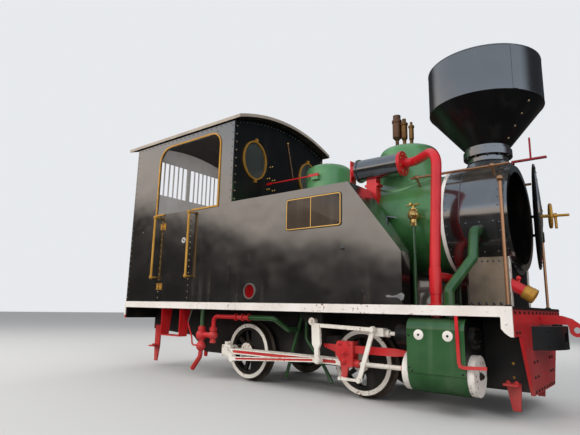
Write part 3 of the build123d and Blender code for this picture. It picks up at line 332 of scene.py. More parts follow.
@dataclass(frozen=True)
class Finish(Surface):
    """A painted or bare surface with its age."""

    colour: Colour
    shade: Colour
    slot: str
    roughness: float = 0.3
    metallic: float = 0.0
    coat: float = 0.0
    coat_ior: float = 1.5
    ior: float = 1.5
    rust: Colour = rgb(96, 52, 30)
    streak: float = 0.3
    spots: float = 0.2
    tops: float = 0.3
    low: float = 0.3
    wear: float = 0.3
    wave: float = 1.0
    peel: float = 0.05
    relief: float = 0.002
    # Colour of streaks and dust; on the green finishes a paler green that also stands for a painted highlight
    # on upward faces.
    dust: Colour = rgb(150, 138, 122)

    def wire(self, tree: bpy.types.NodeTree, effects: Effects) -> None:
        """Adds the paint or metal with its streaks, dust, spots, worn edges and relief; on the greens the
        pale colour on upward faces is also a painted highlight.

        Args:
            tree: The material's nodes.
            effects: The shared node groups.
        """
        w = Wiring(tree)
        shader = tree.nodes["Principled BSDF"]
        place = w.place()

        def effect(group: bpy.types.NodeTree, **values: float) -> bpy.types.NodeSocket:
            """Places one shared group with its values and returns its output."""
            node = w.add("Group", {"node_tree": group})
            for key, value in values.items():
                node.inputs[key].default_value = value
            return node.outputs[0]

        tone = w.ramp(w.noise(place, 3.7, 6.0), 0.35, 0.7)
        paint = w.mix(tone, self.colour, self.shade)
        streak = effect(effects.streaks, Scale=9.0, Amount=self.streak)
        dust = effect(effects.dust, Tops=self.tops, Low=self.low)
        spots = effect(effects.spots, Scale=34.0, Amount=self.spots)
        wear = effect(effects.wear, Width=0.004, Amount=self.wear)
        rusted = w.math("MAXIMUM", spots, wear)
        paint = w.mix(streak, paint, self.dust)
        # On the green finishes this pale mix on upward faces is partly a painted highlight.
        paint = w.mix(dust, paint, self.dust)
        paint = w.mix(rusted, paint, self.rust)
        tree.links.new(paint, shader.inputs["Base Color"])
        shader.inputs["IOR"].default_value = self.ior
        aged = w.math("MAXIMUM", rusted, w.math("MAXIMUM", dust, streak))
        rough = w.math("MULTIPLY_ADD", tone, 0.06, self.roughness)
        rough = w.math("MULTIPLY_ADD", aged, 0.75 - self.roughness, rough)
        tree.links.new(rough, shader.inputs["Roughness"])
        if self.metallic:
            bare = w.math("MULTIPLY_ADD", aged, -0.7 * self.metallic, self.metallic)
            tree.links.new(bare, shader.inputs["Metallic"])
        if self.coat:
            shader.inputs["Coat Roughness"].default_value = 0.06
            shader.inputs["Coat IOR"].default_value = self.coat_ior
            clean = w.math("MULTIPLY_ADD", aged, -self.coat, self.coat)
            tree.links.new(clean, shader.inputs["Coat Weight"])
        height = effect(effects.sheet, Wave=self.wave, Peel=self.peel)
        bump = w.add("Bump", Height=height, Distance=self.relief, Strength=1.0)
        tree.links.new(bump.outputs[0], shader.inputs["Normal"])


@dataclass(frozen=True)
class Glazing(Surface):
    """Old window glass with dust on it."""

    name: str = "window_glass"
    tint: Colour = rgb(146, 156, 150)
    film: Colour = rgb(118, 124, 116)

    def wire(self, tree: bpy.types.NodeTree, effects: Effects) -> None:
        """Adds the glass and its uneven film of dust.

        Args:
            tree: The material's nodes.
            effects: The shared node groups, which the glass doesn't need.
        """
        w = Wiring(tree)
        shader = tree.nodes["Principled BSDF"]
        shader.inputs["Transmission Weight"].default_value = 0.85
        shader.inputs["IOR"].default_value = 1.45
        place = w.place()
        film = w.ramp(w.noise(place, 7.0, 5.0), 0.35, 0.8)
        tree.links.new(w.mix(film, self.tint, self.film), shader.inputs["Base Color"])
        tree.links.new(w.math("MULTIPLY_ADD", film, 0.25, 0.03), shader.inputs["Roughness"])


BLACK = Finish("gloss_black", rgb(15, 15, 16), rgb(22, 21, 21), "black_paint", roughness=0.2, coat=1.0,
               coat_ior=2.3, ior=2.2, streak=0.10, spots=0.04, tops=0.30, low=0.10, wear=0.12, peel=0.02,
               relief=0.014)
# A darker, duller black for the chimney's downward faces and the cab front: painted shade where little light
# falls.
SHADED_MATT_BLACK = Finish("cone_black", rgb(9, 9, 10), rgb(14, 14, 15), "black_paint", roughness=0.32, coat=0.2,
                    streak=0.05, spots=0.03, tops=0.0, low=0.0, wear=0.1, peel=0.02, relief=0.008)
FRAME_BLACK = Finish("frame_black", rgb(10, 10, 11), rgb(17, 16, 15), "black_paint", roughness=0.5,
                     streak=0.06, spots=0.2, tops=0.3, low=0.08, wear=0.2)
SOOT = Finish("soot", rgb(13, 12, 12), rgb(22, 20, 18), "black_paint", roughness=0.85,
              streak=0.1, spots=0.1, tops=0.1, low=0.0, wear=0.0)
# Pale tan over the saddle's black paint: a painted reflection of the yard on glossy black, with some real
# dust.
BLACK_WITH_PAINTED_SHEEN_AND_DUST = Finish("dusty_black", rgb(134, 118, 98), rgb(92, 82, 71), "black_paint", roughness=0.35,
                     coat=0.5, streak=0.3, spots=0.2, tops=0.2, low=0.1, wear=0.2)
PEELED = Finish("peeled_primer", rgb(150, 150, 150), rgb(84, 84, 86), "grey_paint", roughness=0.6,
                streak=0.2, spots=0.3, tops=0.0, low=0.0, wear=0.2)
PLATE_BLACK = Finish("plate_black", rgb(58, 48, 40), rgb(74, 60, 48), "black_paint", roughness=0.42, coat=0.3,
                     streak=0.35, spots=0.15, tops=0.2, low=0.0, wear=0.3)
# The boiler's pale green dust on upward faces is partly real fading and dust, partly a painted highlight of
# the sky on the barrel's top.
GREEN = Finish("boiler_green", rgb(56, 104, 56), rgb(72, 124, 72), "green_paint", roughness=0.28, coat=0.8,
               dust=rgb(146, 160, 138), streak=0.3, spots=0.08, tops=0.5, low=0.2, wear=0.2, relief=0.004)
# A darker copy of the boiler green for cylinders and pipes lower down: painted shade where less light falls;
# its paler green on upward faces is a painted highlight with some dust.
LOW_GREEN_PAINTED_SHADE = Finish("pipe_green", rgb(32, 76, 36), rgb(43, 90, 47), "green_paint", roughness=0.28, coat=0.8,
                    dust=rgb(120, 140, 112), streak=0.25, spots=0.08, tops=0.3, low=0.2, wear=0.2,
                    relief=0.004)
# A lighter copy of the boiler green for the domes: a painted highlight of the sky on their tops.
LIT_DOME_GREEN = Finish("dome_green", rgb(78, 134, 84), rgb(102, 156, 104), "green_paint", roughness=0.34,
                    coat=0.7, streak=0.3, spots=0.05, tops=0.3, low=0.0, wear=0.15, relief=0.003)
RED = Finish("engine_red", rgb(192, 16, 26), rgb(208, 32, 40), "red_paint", roughness=0.3, coat=0.5,
             streak=0.15, spots=0.12, tops=0.25, low=0.25, wear=0.25)
# The red inside of the tank hole, darkened as painted shade of the recess.
HOLE_RED_PAINTED_SHADE = Finish("hole_red", rgb(128, 2, 6), rgb(90, 2, 5), "red_paint", roughness=0.8, ior=1.2,
                  streak=0.2, spots=0.1, tops=0.0, low=0.0, wear=0.1)
MAROON = Finish("faded_maroon", rgb(156, 26, 38), rgb(124, 28, 36), "red_paint", roughness=0.5,
                streak=0.2, spots=0.3, tops=0.3, low=0.0, wear=0.3)
WHITE = Finish("trim_white", rgb(240, 233, 226), rgb(228, 219, 210), "white_paint", roughness=0.4, coat=0.1,
               rust=rgb(132, 88, 58), streak=0.2, spots=0.46, tops=0.15, low=0.1, wear=0.9)
TYRE_WHITE = Finish("running_white", rgb(240, 234, 224), rgb(226, 217, 204), "white_paint", roughness=0.45,
                    rust=rgb(134, 92, 60), streak=0.2, spots=0.52, tops=0.15, low=0.12, wear=0.9)
CREAM = Finish("roof_cream", rgb(160, 147, 134), rgb(180, 166, 151), "white_paint", roughness=0.5,
               streak=0.3, spots=0.25, tops=0.3, low=0.0, wear=0.3)
ROOF_INSIDE = Finish("roof_inside", rgb(38, 33, 28), rgb(52, 45, 38), "black_paint", roughness=0.6,
                     streak=0.2, spots=0.2, tops=0.0, low=0.0, wear=0.1)
GREY = Finish("cab_grey", rgb(196, 192, 190), rgb(182, 178, 174), "grey_paint", roughness=0.45,
              streak=0.2, spots=0.12, tops=0.2, low=0.0, wear=0.2)
# Pale rivets: worn paint on the cab, and on the chimney's cone painted glints of light.
WORN_RIVET_AND_GLINT = Finish("worn_rivet", rgb(196, 178, 146), rgb(150, 128, 96), "brass", roughness=0.4, metallic=0.4,
                    streak=0.1, spots=0.4, tops=0.1, low=0.1, wear=0.3)
WORN_SEAM = Finish("worn_seam", rgb(72, 72, 76), rgb(92, 90, 90), "black_paint", roughness=0.4,
                   streak=0.3, spots=0.2, tops=0.1, low=0.0, wear=0.2)
BRASS = Finish("brass", rgb(222, 176, 88), rgb(200, 150, 70), "brass", roughness=0.24, metallic=0.95,
               rust=rgb(110, 74, 36), dust=rgb(120, 92, 56), streak=0.1, spots=0.25, tops=0.15, low=0.1,
               wear=0.1)
OLD_BRASS = Finish("old_brass", rgb(158, 118, 70), rgb(112, 80, 50), "brass", roughness=0.3, metallic=0.85,
                   rust=rgb(70, 50, 38), dust=rgb(110, 88, 70), streak=0.25, spots=0.35, tops=0.15,
                   low=0.0, wear=0.1)
BRONZE = Finish("whistle_bronze", rgb(132, 98, 78), rgb(110, 80, 62), "brass", roughness=0.34, metallic=0.8,
                rust=rgb(84, 60, 44), dust=rgb(110, 88, 70), streak=0.2, spots=0.25, tops=0.15, low=0.0,
                wear=0.1)
GOLD = Finish("gold_paint", rgb(218, 164, 74), rgb(198, 142, 58), "brass", roughness=0.34, metallic=0.5,
              rust=rgb(112, 66, 34), streak=0.1, spots=0.3, tops=0.1, low=0.1, wear=0.35)
COPPER = Finish("copper", rgb(114, 86, 65), rgb(92, 70, 54), "copper", roughness=0.34, metallic=0.8,
                rust=rgb(84, 60, 44), dust=rgb(110, 88, 70), streak=0.2, spots=0.3, tops=0.15, low=0.1,
                wear=0.1)
STEEL = Finish("bare_steel", rgb(150, 146, 140), rgb(120, 112, 104), "grey_paint", roughness=0.4,
               metallic=0.7, streak=0.2, spots=0.4, tops=0.2, low=0.3, wear=0.3)
TREAD = Finish("tyre_tread", rgb(46, 38, 33), rgb(62, 50, 42), "black_paint", roughness=0.55, metallic=0.4,
               streak=0.2, spots=0.6, tops=0.2, low=0.4, wear=0.3)
GLASS = Glazing()
SLOT_FINISHES: dict[str, Finish] = {
    finish.slot: finish for finish in (BLACK, GREEN, RED, WHITE, GREY, BRASS, COPPER)
}
NODES_OF_FINISH: tuple[tuple[Finish, tuple[str, ...]], ...] = (
    (BLACK, ("cab_rear",)),
    # The cab front in the darker, duller black: painted shade.
    (SHADED_MATT_BLACK, ("cab_front",)),
    (FRAME_BLACK, ("frame_plates", "frame_stretchers", "firebox", "axle_boxes", "buffing_boxes",
                   "motion_brackets", "valve_chests", "running_board", "rear_wheels", "front_wheels")),
    # Saddle in pale tan: painted reflection with some dust; its front and rear faces are repainted black.
    (BLACK_WITH_PAINTED_SHEEN_AND_DUST, ("saddle",)),
    (TREAD, ("rear_tyres", "front_tyres")),
    # Domes in the lighter green copy: painted highlight.
    (LIT_DOME_GREEN, ("domes",)),
    # Cylinders and pipes in the darker green copy: painted shade.
    (LOW_GREEN_PAINTED_SHADE, ("cylinders", "exhaust_pipes", "feed_pipes")),
    (RED, ("slide_bars",)),
    (CREAM, ("cab_roof",)),
    (TYRE_WHITE, ("valve_gear", "crosshead_left", "crosshead_right", "connecting_rod_left",
                  "connecting_rod_right", "coupling_rod_left", "coupling_rod_right",
                  "combination_lever_left", "combination_lever_right")),
    (GOLD, ("door_wheel", "cab_handrails", "cab_brasswork", "door_fittings_left", "door_fittings_right")),
    (BRASS, ("boiler_valves",)),
    (COPPER, ("copper_rails",)),
)
NODE_FINISHES: dict[str, Finish] = {node: finish for finish, nodes in NODES_OF_FINISH for node in nodes}


@dataclass
class PhotoCamera:
    """The camera at the photograph's own viewpoint."""

    place: Point = (3.158, -4.357, 0.772)
    yaw: float = math.radians(38.72)
    pitch: float = math.radians(11.01)
    roll: float = math.radians(1.25)
    focal_pixels: float = 466.7
    photo_width: float = 580.0
    sensor: float = 36.0

    def build(self) -> None:
        """Makes the camera and sets it as the scene's own."""
        data = bpy.data.cameras.new("photo_camera")
        data.sensor_width = self.sensor
        data.lens = self.focal_pixels / self.photo_width * self.sensor
        data.clip_end = 200
        camera = bpy.data.objects.new("photo_camera", data)
        level = math.cos(self.pitch)
        ahead = Vector((-math.sin(self.yaw) * level, math.cos(self.yaw) * level, math.sin(self.pitch)))
        across = Vector((math.cos(self.yaw), math.sin(self.yaw), 0))
        up = across.cross(ahead)
        right = math.cos(self.roll) * across + math.sin(self.roll) * up
        top = math.cos(self.roll) * up - math.sin(self.roll) * across
        turn = Matrix((right, top, -ahead)).transposed().to_4x4()
        camera.matrix_world = Matrix.Translation(self.place) @ turn
        bpy.context.scene.collection.objects.link(camera)
        bpy.context.scene.camera = camera


@dataclass
class Lamp:
    """One soft rectangular lamp that points at the locomotive."""

    name: str
    place: Point
    size: Span
    watts: float
    target: Point = (0.2, 0.0, 1.4)
    colour: Colour = (1.0, 1.0, 1.0)

    def build(self) -> None:
        """Makes the lamp."""
        data = bpy.data.lights.new(self.name, "AREA")
        data.shape = "RECTANGLE"
        data.size, data.size_y = self.size
        data.energy = self.watts
        data.color = self.colour
        lamp = bpy.data.objects.new(self.name, data)
        aim = Vector(self.target) - Vector(self.place)
        lamp.matrix_world = Matrix.Translation(self.place) @ aim.to_track_quat("-Z", "Y").to_matrix().to_4x4()
        lamp.visible_camera = False
        lamp.visible_glossy = False
        lamp.visible_transmission = False
        bpy.context.scene.collection.objects.link(lamp)


@dataclass
class Studio:
    """The pale floor, the pale surroundings and the lamps."""

    floor_half: float = 40.0
    floor_colour: Colour = (0.74, 0.73, 0.71)
    floor_grain: float = 0.97
    bounced_floor: Colour = (0.50, 0.49, 0.47)
    sky_colour: Colour = (0.80, 0.82, 0.85)
    mirrored_sky: Colour = (0.74, 0.85, 1.0)
    wall_colour: Colour = (1.0, 0.88, 0.77)
    mirrored_floor: float = 0.04
    fill: float = 0.55
    horizon: Span = (0.07, 0.15)
    horizon_slope: float = 0.2
    wall_top: Span = (0.42, 0.2)
    zenith: Span = (0.3, 0.46)
    shade_aside: Span = (0.0, 0.45)
    shade_top: Span = (0.8, 0.45)
    unevenness: float = 0.16
    sky_strength: float = 0.62
    ground: float = 0.025
    shade: float = 0.93
    lamps: tuple[Lamp, ...] = (
        Lamp("sky_panel", (-5.5, -9.0, 6.4), (12.0, 6.0), 900.0, colour=(1.0, 0.98, 0.95)),
        Lamp("front_panel", (7.5, -5.5, 6.5), (4.0, 4.0), 260.0, colour=(0.92, 0.96, 1.0)),
        Lamp("back_panel", (-2.0, 8.0, 6.0), (8.0, 4.0), 320.0),
        Lamp("yard_panel", (4.5, -8.0, 1.6), (6.0, 3.0), 80.0, (-0.5, 0.0, 1.2)),
        Lamp("cab_panel", (-0.85, 0.0, 2.70), (1.0, 0.4), 8.0, (-2.2, 0.0, 1.7)),
    )

    def build(self) -> None:
        """Makes the floor, the surroundings and the lamps."""
        self._floor()
        self._world()
        for lamp in self.lamps:
            lamp.build()
        bpy.context.scene.view_settings.view_transform = "Standard"

    def _floor(self) -> None:
        """Makes the floor: pale to look at, darker as light, and nearly black in reflections."""
        mesh = bpy.data.meshes.new("studio_floor")
        corners = [(along * self.floor_half, aside * self.floor_half, 0)
                   for along, aside in ((-1, -1), (1, -1), (1, 1), (-1, 1))]
        mesh.from_pydata(corners, [], [(0, 1, 2, 3)])
        floor = bpy.data.objects.new("studio_floor", mesh)
        bpy.context.scene.collection.objects.link(floor)
        paper = bpy.data.materials.new("floor_paper")
        paper.use_nodes = True
        w = Wiring(paper.node_tree)
        shader = paper.node_tree.nodes["Principled BSDF"]
        place = w.place()
        grain = w.noise(place, 60.0, 4.0)
        tone = tuple(self.floor_grain * value for value in self.floor_colour)
        path = w.add("LightPath")
        mirrored = tuple(self.mirrored_floor * value for value in self.floor_colour)
        paint = w.mix(path.outputs["Is Glossy Ray"], self.bounced_floor, mirrored)
        paint = w.mix(path.outputs["Is Camera Ray"], paint, w.mix(grain, self.floor_colour, tone))
        paper.node_tree.links.new(paint, shader.inputs["Base Color"])
        shader.inputs["Roughness"].default_value = 0.85
        mesh.materials.append(paper)

    def _world(self) -> None:
        """Makes the surroundings: pale to look at, gentler as light, and an open yard in reflections.

        There the ground is dark up to a soft uneven line, the walls above it are warm, the sky is cool, and
        the left side lies in shade.
        """
        world = bpy.data.worlds.new("studio")
        bpy.context.scene.world = world
        world.use_nodes = True
        tree = world.node_tree
        w = Wiring(tree)
        path = w.add("LightPath")
        seen = w.math("MAXIMUM", path.outputs["Is Camera Ray"], path.outputs["Is Transmission Ray"])
        strength = w.math("MULTIPLY_ADD", seen, 1.0 - self.fill, self.fill)
        toward = w.place("Generated")
        parts = w.add("SeparateXYZ", Vector=toward)
        uneven = w.noise(toward, 5.0, 5.0)
        sloping = w.math("MULTIPLY_ADD", parts.outputs["X"], self.horizon_slope, parts.outputs["Z"])
        height = w.math("MULTIPLY_ADD", uneven, self.unevenness, sloping)
        aside = w.ramp(parts.outputs["Y"], *self.shade_aside)
        shaded = w.math("MULTIPLY", aside, w.ramp(parts.outputs["Z"], *self.shade_top))
        open_yard = w.math("MULTIPLY_ADD", shaded, -self.shade, 1.0)
        open_yard = w.math("MULTIPLY", open_yard, w.ramp(height, *self.horizon))
        high = w.ramp(parts.outputs["Z"], *self.zenith)
        dimmed = w.math("MULTIPLY_ADD", high, self.sky_strength - 1.0, 1.0)
        open_yard = w.math("MULTIPLY", open_yard, dimmed)
        open_yard = w.math("MAXIMUM", open_yard, self.ground)
        glossy = path.outputs["Is Glossy Ray"]
        strength = w.math("MULTIPLY_ADD", glossy, w.math("SUBTRACT", open_yard, strength), strength)
        wall = w.math("MULTIPLY", glossy, w.ramp(height, *self.wall_top))
        back = tree.nodes["Background"]
        sky = w.mix(glossy, self.sky_colour, self.mirrored_sky)
        tree.links.new(w.mix(wall, sky, self.wall_colour), back.inputs["Color"])
        tree.links.new(strength, back.inputs["Strength"])


class Dresser:
    """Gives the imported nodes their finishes, as a whole and face by face."""

    def __init__(self, nodes: dict[str, bpy.types.Object], effects: Effects) -> None:
        """Keeps the nodes and the shared effects.

        Args:
            nodes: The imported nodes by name.
            effects: The shared node groups.
        """
        self.nodes = nodes
        self.effects = effects

    def dress_all(self) -> None:
        """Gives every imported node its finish, from its own name or its slot."""
        for name, node in self.nodes.items():
            slot = node.data.materials[0].name.split(".")[0]
            finish = NODE_FINISHES.get(name) or SLOT_FINISHES.get(slot, GLASS)
            node.data.materials.clear()
            node.data.materials.append(finish.material(self.effects))
            node.data.shade_smooth()
            node.data.set_sharp_from_angle(angle=math.radians(32))
            log.info("node %s: %s", name, finish.name)

    def paint(self, name: str, finish: Finish, chosen: Callable[[Vector, Vector], bool]) -> None:
        """Gives some faces of a node another finish.

        Args:
            name: The node's name.
            finish: The finish of the chosen faces.
            chosen: Tells from a face's centre and normal whether it is painted.
        """
        mesh = self.nodes[name].data
        mesh.materials.append(finish.material(self.effects))
        index = len(mesh.materials) - 1
        for face in mesh.polygons:
            if chosen(face.center, face.normal):
                face.material_index = index


class Work:
    """One piece in the making: a mesh in one finish that rides on one body."""

    def __init__(self, name: str, finish: Finish, body: str) -> None:
        """Starts an empty piece.

        Args:
            name: The piece's name.
            finish: Its finish.
            body: The body it rides on.
        """
        self.name = name
        self.finish = finish
        self.body = body
        self.mesh = bmesh.new()

    def turned(self, place: Point, out: Point, profile: Profile, sides: int = 16, loop: bool = False) -> None:
        """Turns a profile about an axis.

        Args:
            place: The axis's foot.
            out: The axis's direction.
            profile: Pairs of radius and height.
            sides: The number of flats round the axis.
            loop: Whether the profile closes on itself, as a ring's does.
        """
        along = Vector(out).normalized()
        right = along.orthogonal().normalized()
        up = along.cross(right)
        rings = [
            self._circle(Vector(place) + height * along, right, up, radius, sides if radius else 1)
            for radius, height in profile
        ]
        for low, high in zip(rings, rings[1:] + rings[:1] if loop else rings[1:]):
            for index in range(sides):
                after = (index + 1) % sides
                corners = [low[index % len(low)], low[after % len(low)], high[after % len(high)],
                           high[index % len(high)]]
                self.mesh.faces.new(list(dict.fromkeys(corners)))
        if not loop:
            for ring in (rings[0], rings[-1]):
                if len(ring) > 1:
                    self.mesh.faces.new(ring)

    def _circle(self, centre: Vector, right: Vector, up: Vector, radius: float,
                sides: int) -> list[bmesh.types.BMVert]:
        """Adds the corners of a circle.

        Args:
            centre: Its centre.
            right: The direction of its first corner.
            up: The direction a quarter turn further.
            radius: Its radius.
            sides: How many corners it has.

        Returns:
            The corners in order.
        """
        turns = [math.tau * index / sides for index in range(sides)]
        aways = [math.cos(turn) * right + math.sin(turn) * up for turn in turns]
        return [self.mesh.verts.new(centre + radius * away) for away in aways]

    def _sleeve(self, rings: Sequence[Sequence[bmesh.types.BMVert]]) -> None:
        """Joins rings that have as many corners with faces, and closes both ends."""
        for low, high in zip(rings, rings[1:]):
            for step in range(len(low)):
                after = (step + 1) % len(low)
                self.mesh.faces.new([low[step], low[after], high[after], high[step]])
        self.mesh.faces.new(rings[0])
        self.mesh.faces.new(rings[-1])

    def rivet(self, place: Point, out: Point, radius: float) -> None:
        """Adds a round rivet head."""
        shape = ((1.0, 0.0), (0.93, 0.34), (0.62, 0.64), (0.0, 0.78))
        self.turned(place, out, [(radius * wide, radius * high) for wide, high in shape], 8)

    def nut(self, place: Point, out: Point, radius: float) -> None:
        """Adds a hexagon nut on its washer, with the bolt's end."""
        washer = ((1.25, 0.0), (1.25, 0.12), (0.0, 0.12))
        flats = ((1.0, 0.1), (1.0, 0.66), (0.84, 0.78), (0.0, 0.78))
        bolt = ((0.5, 0.7), (0.5, 1.02), (0.36, 1.14), (0.0, 1.14))
        for shape, sides in ((washer, 14), (flats, 6), (bolt, 10)):
            self.turned(place, out, [(radius * wide, radius * high) for wide, high in shape], sides)

    def head(self, kind: Head, place: Point, out: Point, radius: float) -> None:
        """Adds a rivet or a nut."""
        (self.rivet if kind is Head.RIVET else self.nut)(place, out, radius)

    def row(self, start: Point, end: Point, count: int, out: Point, radius: float,
            kind: Head = Head.RIVET) -> None:
        """Adds a straight row of heads.

        Args:
            start: The first head's place.
            end: The last head's place.
            count: How many there are.
            out: The way they point.
            radius: A head's radius.
            kind: Rivets or nuts.
        """
        first, last = Vector(start), Vector(end)
        for index in range(count):
            self.head(kind, first.lerp(last, index / (count - 1)), out, radius)

    def ring(self, centre: Point, axis: Axis, reach: float, count: int, radius: float,
             kind: Head = Head.RIVET, outward: bool = False, back: bool = False) -> None:
        """Adds a circle of heads.

        Args:
            centre: The circle's centre.
            axis: The circle's axis.
            reach: The circle's radius.
            count: How many heads there are.
            radius: A head's radius.
            kind: Rivets or nuts.
            outward: Whether the heads point away from the centre, instead of along the axis.
            back: Whether they point against the axis.
        """
        along = Vector(axis.value)
        right = Vector(axis.value[1:] + axis.value[:1])
        up = along.cross(right)
        for index in range(count):
            turn = math.tau * (index + 0.5) / count
            away = math.cos(turn) * right + math.sin(turn) * up
            out = away if outward else (-along if back else along)
            self.head(kind, Vector(centre) + reach * away, out, radius)

    def tube(self, points: Sequence[Point], radius: float, sides: int = 10) -> None:
        """Sweeps a round bar along a line of points.

        Args:
            points: The line's points.
            radius: The bar's radius.
            sides: The number of flats round it.
        """
        line = [Vector(point) for point in points]
        runs = [(after - before).normalized() for before, after in zip(line, line[1:])]
        right = runs[0].orthogonal().normalized()
        rings = []
        for index, place in enumerate(line):
            along = (runs[max(index - 1, 0)] + runs[min(index, len(runs) - 1)]).normalized()
            right = (right - right.dot(along) * along).normalized()
            rings.append(self._circle(place, right, along.cross(right), radius, sides))
        self._sleeve(rings)

    def band(self, points: Sequence[Point], across: Point, width: float, thickness: float) -> None:
        """Sweeps a flat strip along a line of points.

        Args:
            points: The line's points.
            across: The direction of the strip's width.
            width: The strip's width, half to each side of the line.
            thickness: How far it stands up from the line.
        """
        side = Vector(across).normalized()
        half = side * width / 2
        line = [Vector(point) for point in points]
        runs = [(after - before).normalized() for before, after in zip(line, line[1:])]
        rings = []
        for index, place in enumerate(line):
            before, after = runs[max(index - 1, 0)], runs[min(index, len(runs) - 1)]
            along = (before + after).normalized()
            up = side.cross(along).normalized() * thickness / max(before.dot(along), 0.3)
            corners = (place - half, place + half, place + half + up, place - half + up)
            rings.append([self.mesh.verts.new(corner) for corner in corners])
        self._sleeve(rings)

    def plate(self, outline: Sequence[Point], out: Point, thickness: float, bevel: float = 0.0015) -> None:
        """Adds a flat plate with softened edges.

        Args:
            outline: The corners of the face that lies on the locomotive.
            out: The direction of its thickness.
            thickness: Its thickness.
            bevel: The width of the softened edge, or 0 for a sharp one.
        """
        lift = Vector(out).normalized() * thickness
        low = [self.mesh.verts.new(Vector(point)) for point in outline]
        high = [self.mesh.verts.new(Vector(point) + lift) for point in outline]
        self.mesh.faces.new(low)
        top = self.mesh.faces.new(high)
        for index in range(len(low)):
            after = (index + 1) % len(low)
            self.mesh.faces.new([low[index], low[after], high[after], high[index]])
        if bevel:
            edges = list(top.edges)
            bmesh.ops.bevel(self.mesh, geom=edges, offset=bevel, segments=2, affect="EDGES", profile=0.5)

    def border(self, outer: Sequence[Point], inner: Sequence[Point], out: Point, thickness: float) -> None:
        """Adds a raised edge between two outlines that have as many corners.

        Args:
            outer: The outer outline.
            inner: The inner outline.
            out: The direction of its thickness.
            thickness: Its thickness.
        """
        lift = Vector(out).normalized() * thickness
        loops = [[self.mesh.verts.new(Vector(point) + rise) for point in outline]
                 for outline, rise in ((outer, 0 * lift), (outer, lift), (inner, lift), (inner, 0 * lift))]
        for first, second in zip(loops, loops[1:] + loops[:1]):
            for index in range(len(first)):
                after = (index + 1) % len(first)
                self.mesh.faces.new([first[index], first[after], second[after], second[index]])

    def build(self, effects: Effects) -> None:
        """Makes the piece and lets it ride on its body."""
        bmesh.ops.recalc_face_normals(self.mesh, faces=self.mesh.faces)
        data = bpy.data.meshes.new(self.name)
        self.mesh.to_mesh(data)
        self.mesh.free()
        data.materials.append(self.finish.material(effects))
        data.shade_smooth()
        data.set_sharp_from_angle(angle=math.radians(38))
        piece = bpy.data.objects.new(self.name, data)
        bpy.context.scene.collection.objects.link(piece)
        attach(piece, self.body)
        log.info("piece %s on %s: %s, %d faces", self.name, self.body, self.finish.name, len(data.polygons))


class Bench:
    """Gathers the small forms into one piece for each name, finish and body."""

    def __init__(self) -> None:
        """Starts with no pieces."""
        self.works: dict[str, Work] = {}

    def work(self, name: str, finish: Finish, body: str = "root") -> Work:
        """Finds the piece that a form belongs to, or starts it.

        Args:
            name: The piece's name, to which its finish is added.
            finish: Its finish.
            body: The body it rides on.

        Returns:
            The piece in the making.
        """
        label = f"{name}_{finish.name}"
        if label not in self.works:
            self.works[label] = Work(label, finish, body)
        return self.works[label]

    def build(self, effects: Effects) -> None:
        """Makes every piece."""
        for work in self.works.values():
            work.build(effects)


def rounded(low: Spot, high: Spot, radius: float, y: float) -> list[Point]:
    """The outline of an upright rectangle with round corners.

    Args:
        low: Its lowest X and Z.
        high: Its highest X and Z.
        radius: The corners' radius.
        y: Its Y.

    Returns:
        The corner points in order.
    """
    steps = 6
    centres = ((high[0] - radius, high[1] - radius), (low[0] + radius, high[1] - radius),
               (low[0] + radius, low[1] + radius), (high[0] - radius, low[1] + radius))
    points = []
    for quarter, (x, z) in enumerate(centres):
        for step in range(steps + 1):
            turn = math.pi / 2 * (quarter + step / steps)
            points.append((x + radius * math.cos(turn), y, z + radius * math.sin(turn)))
    return points


class Place(NamedTuple):
    """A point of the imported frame, to a tenth of a millimetre."""

    x: float
    y: float
    z: float

    @classmethod
    def read(cls, values: Sequence[float]) -> Place:
        """Rounds three measures of the frame."""
        return cls(*(round(value, 4) for value in values))


class Packed:
    """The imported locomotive, whose boxes and pivots say where the details go."""

    def __init__(self, frame: dict[str, object]) -> None:
        """Keeps the nodes and the joints' pivots.
        """
        self.nodes = frame["nodes"]
        self.pivots = {joint["name"]: joint.get("pos_m") for joint in frame["joints"]}

    def low(self, node: str) -> Place:
        """The lowest corner of a node's box."""
        return Place.read(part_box(node)[0])

    def high(self, node: str) -> Place:
        """The highest corner of a node's box."""
        return Place.read(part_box(node)[1])

    def pivot(self, joint: str) -> Place:
        """Where a hinge turns."""
        return Place.read(self.pivots[joint])


@dataclass
class Dressing:
    """One sub-assembly's finishes and details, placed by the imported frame."""

    packed: Packed

    def repaint(self, dresser: Dresser) -> None:
        """Paints single faces of the sub-assembly, where it has such faces."""

    def build(self, bench: Bench) -> None:
        """Adds the sub-assembly's pieces."""
        raise NotImplementedError


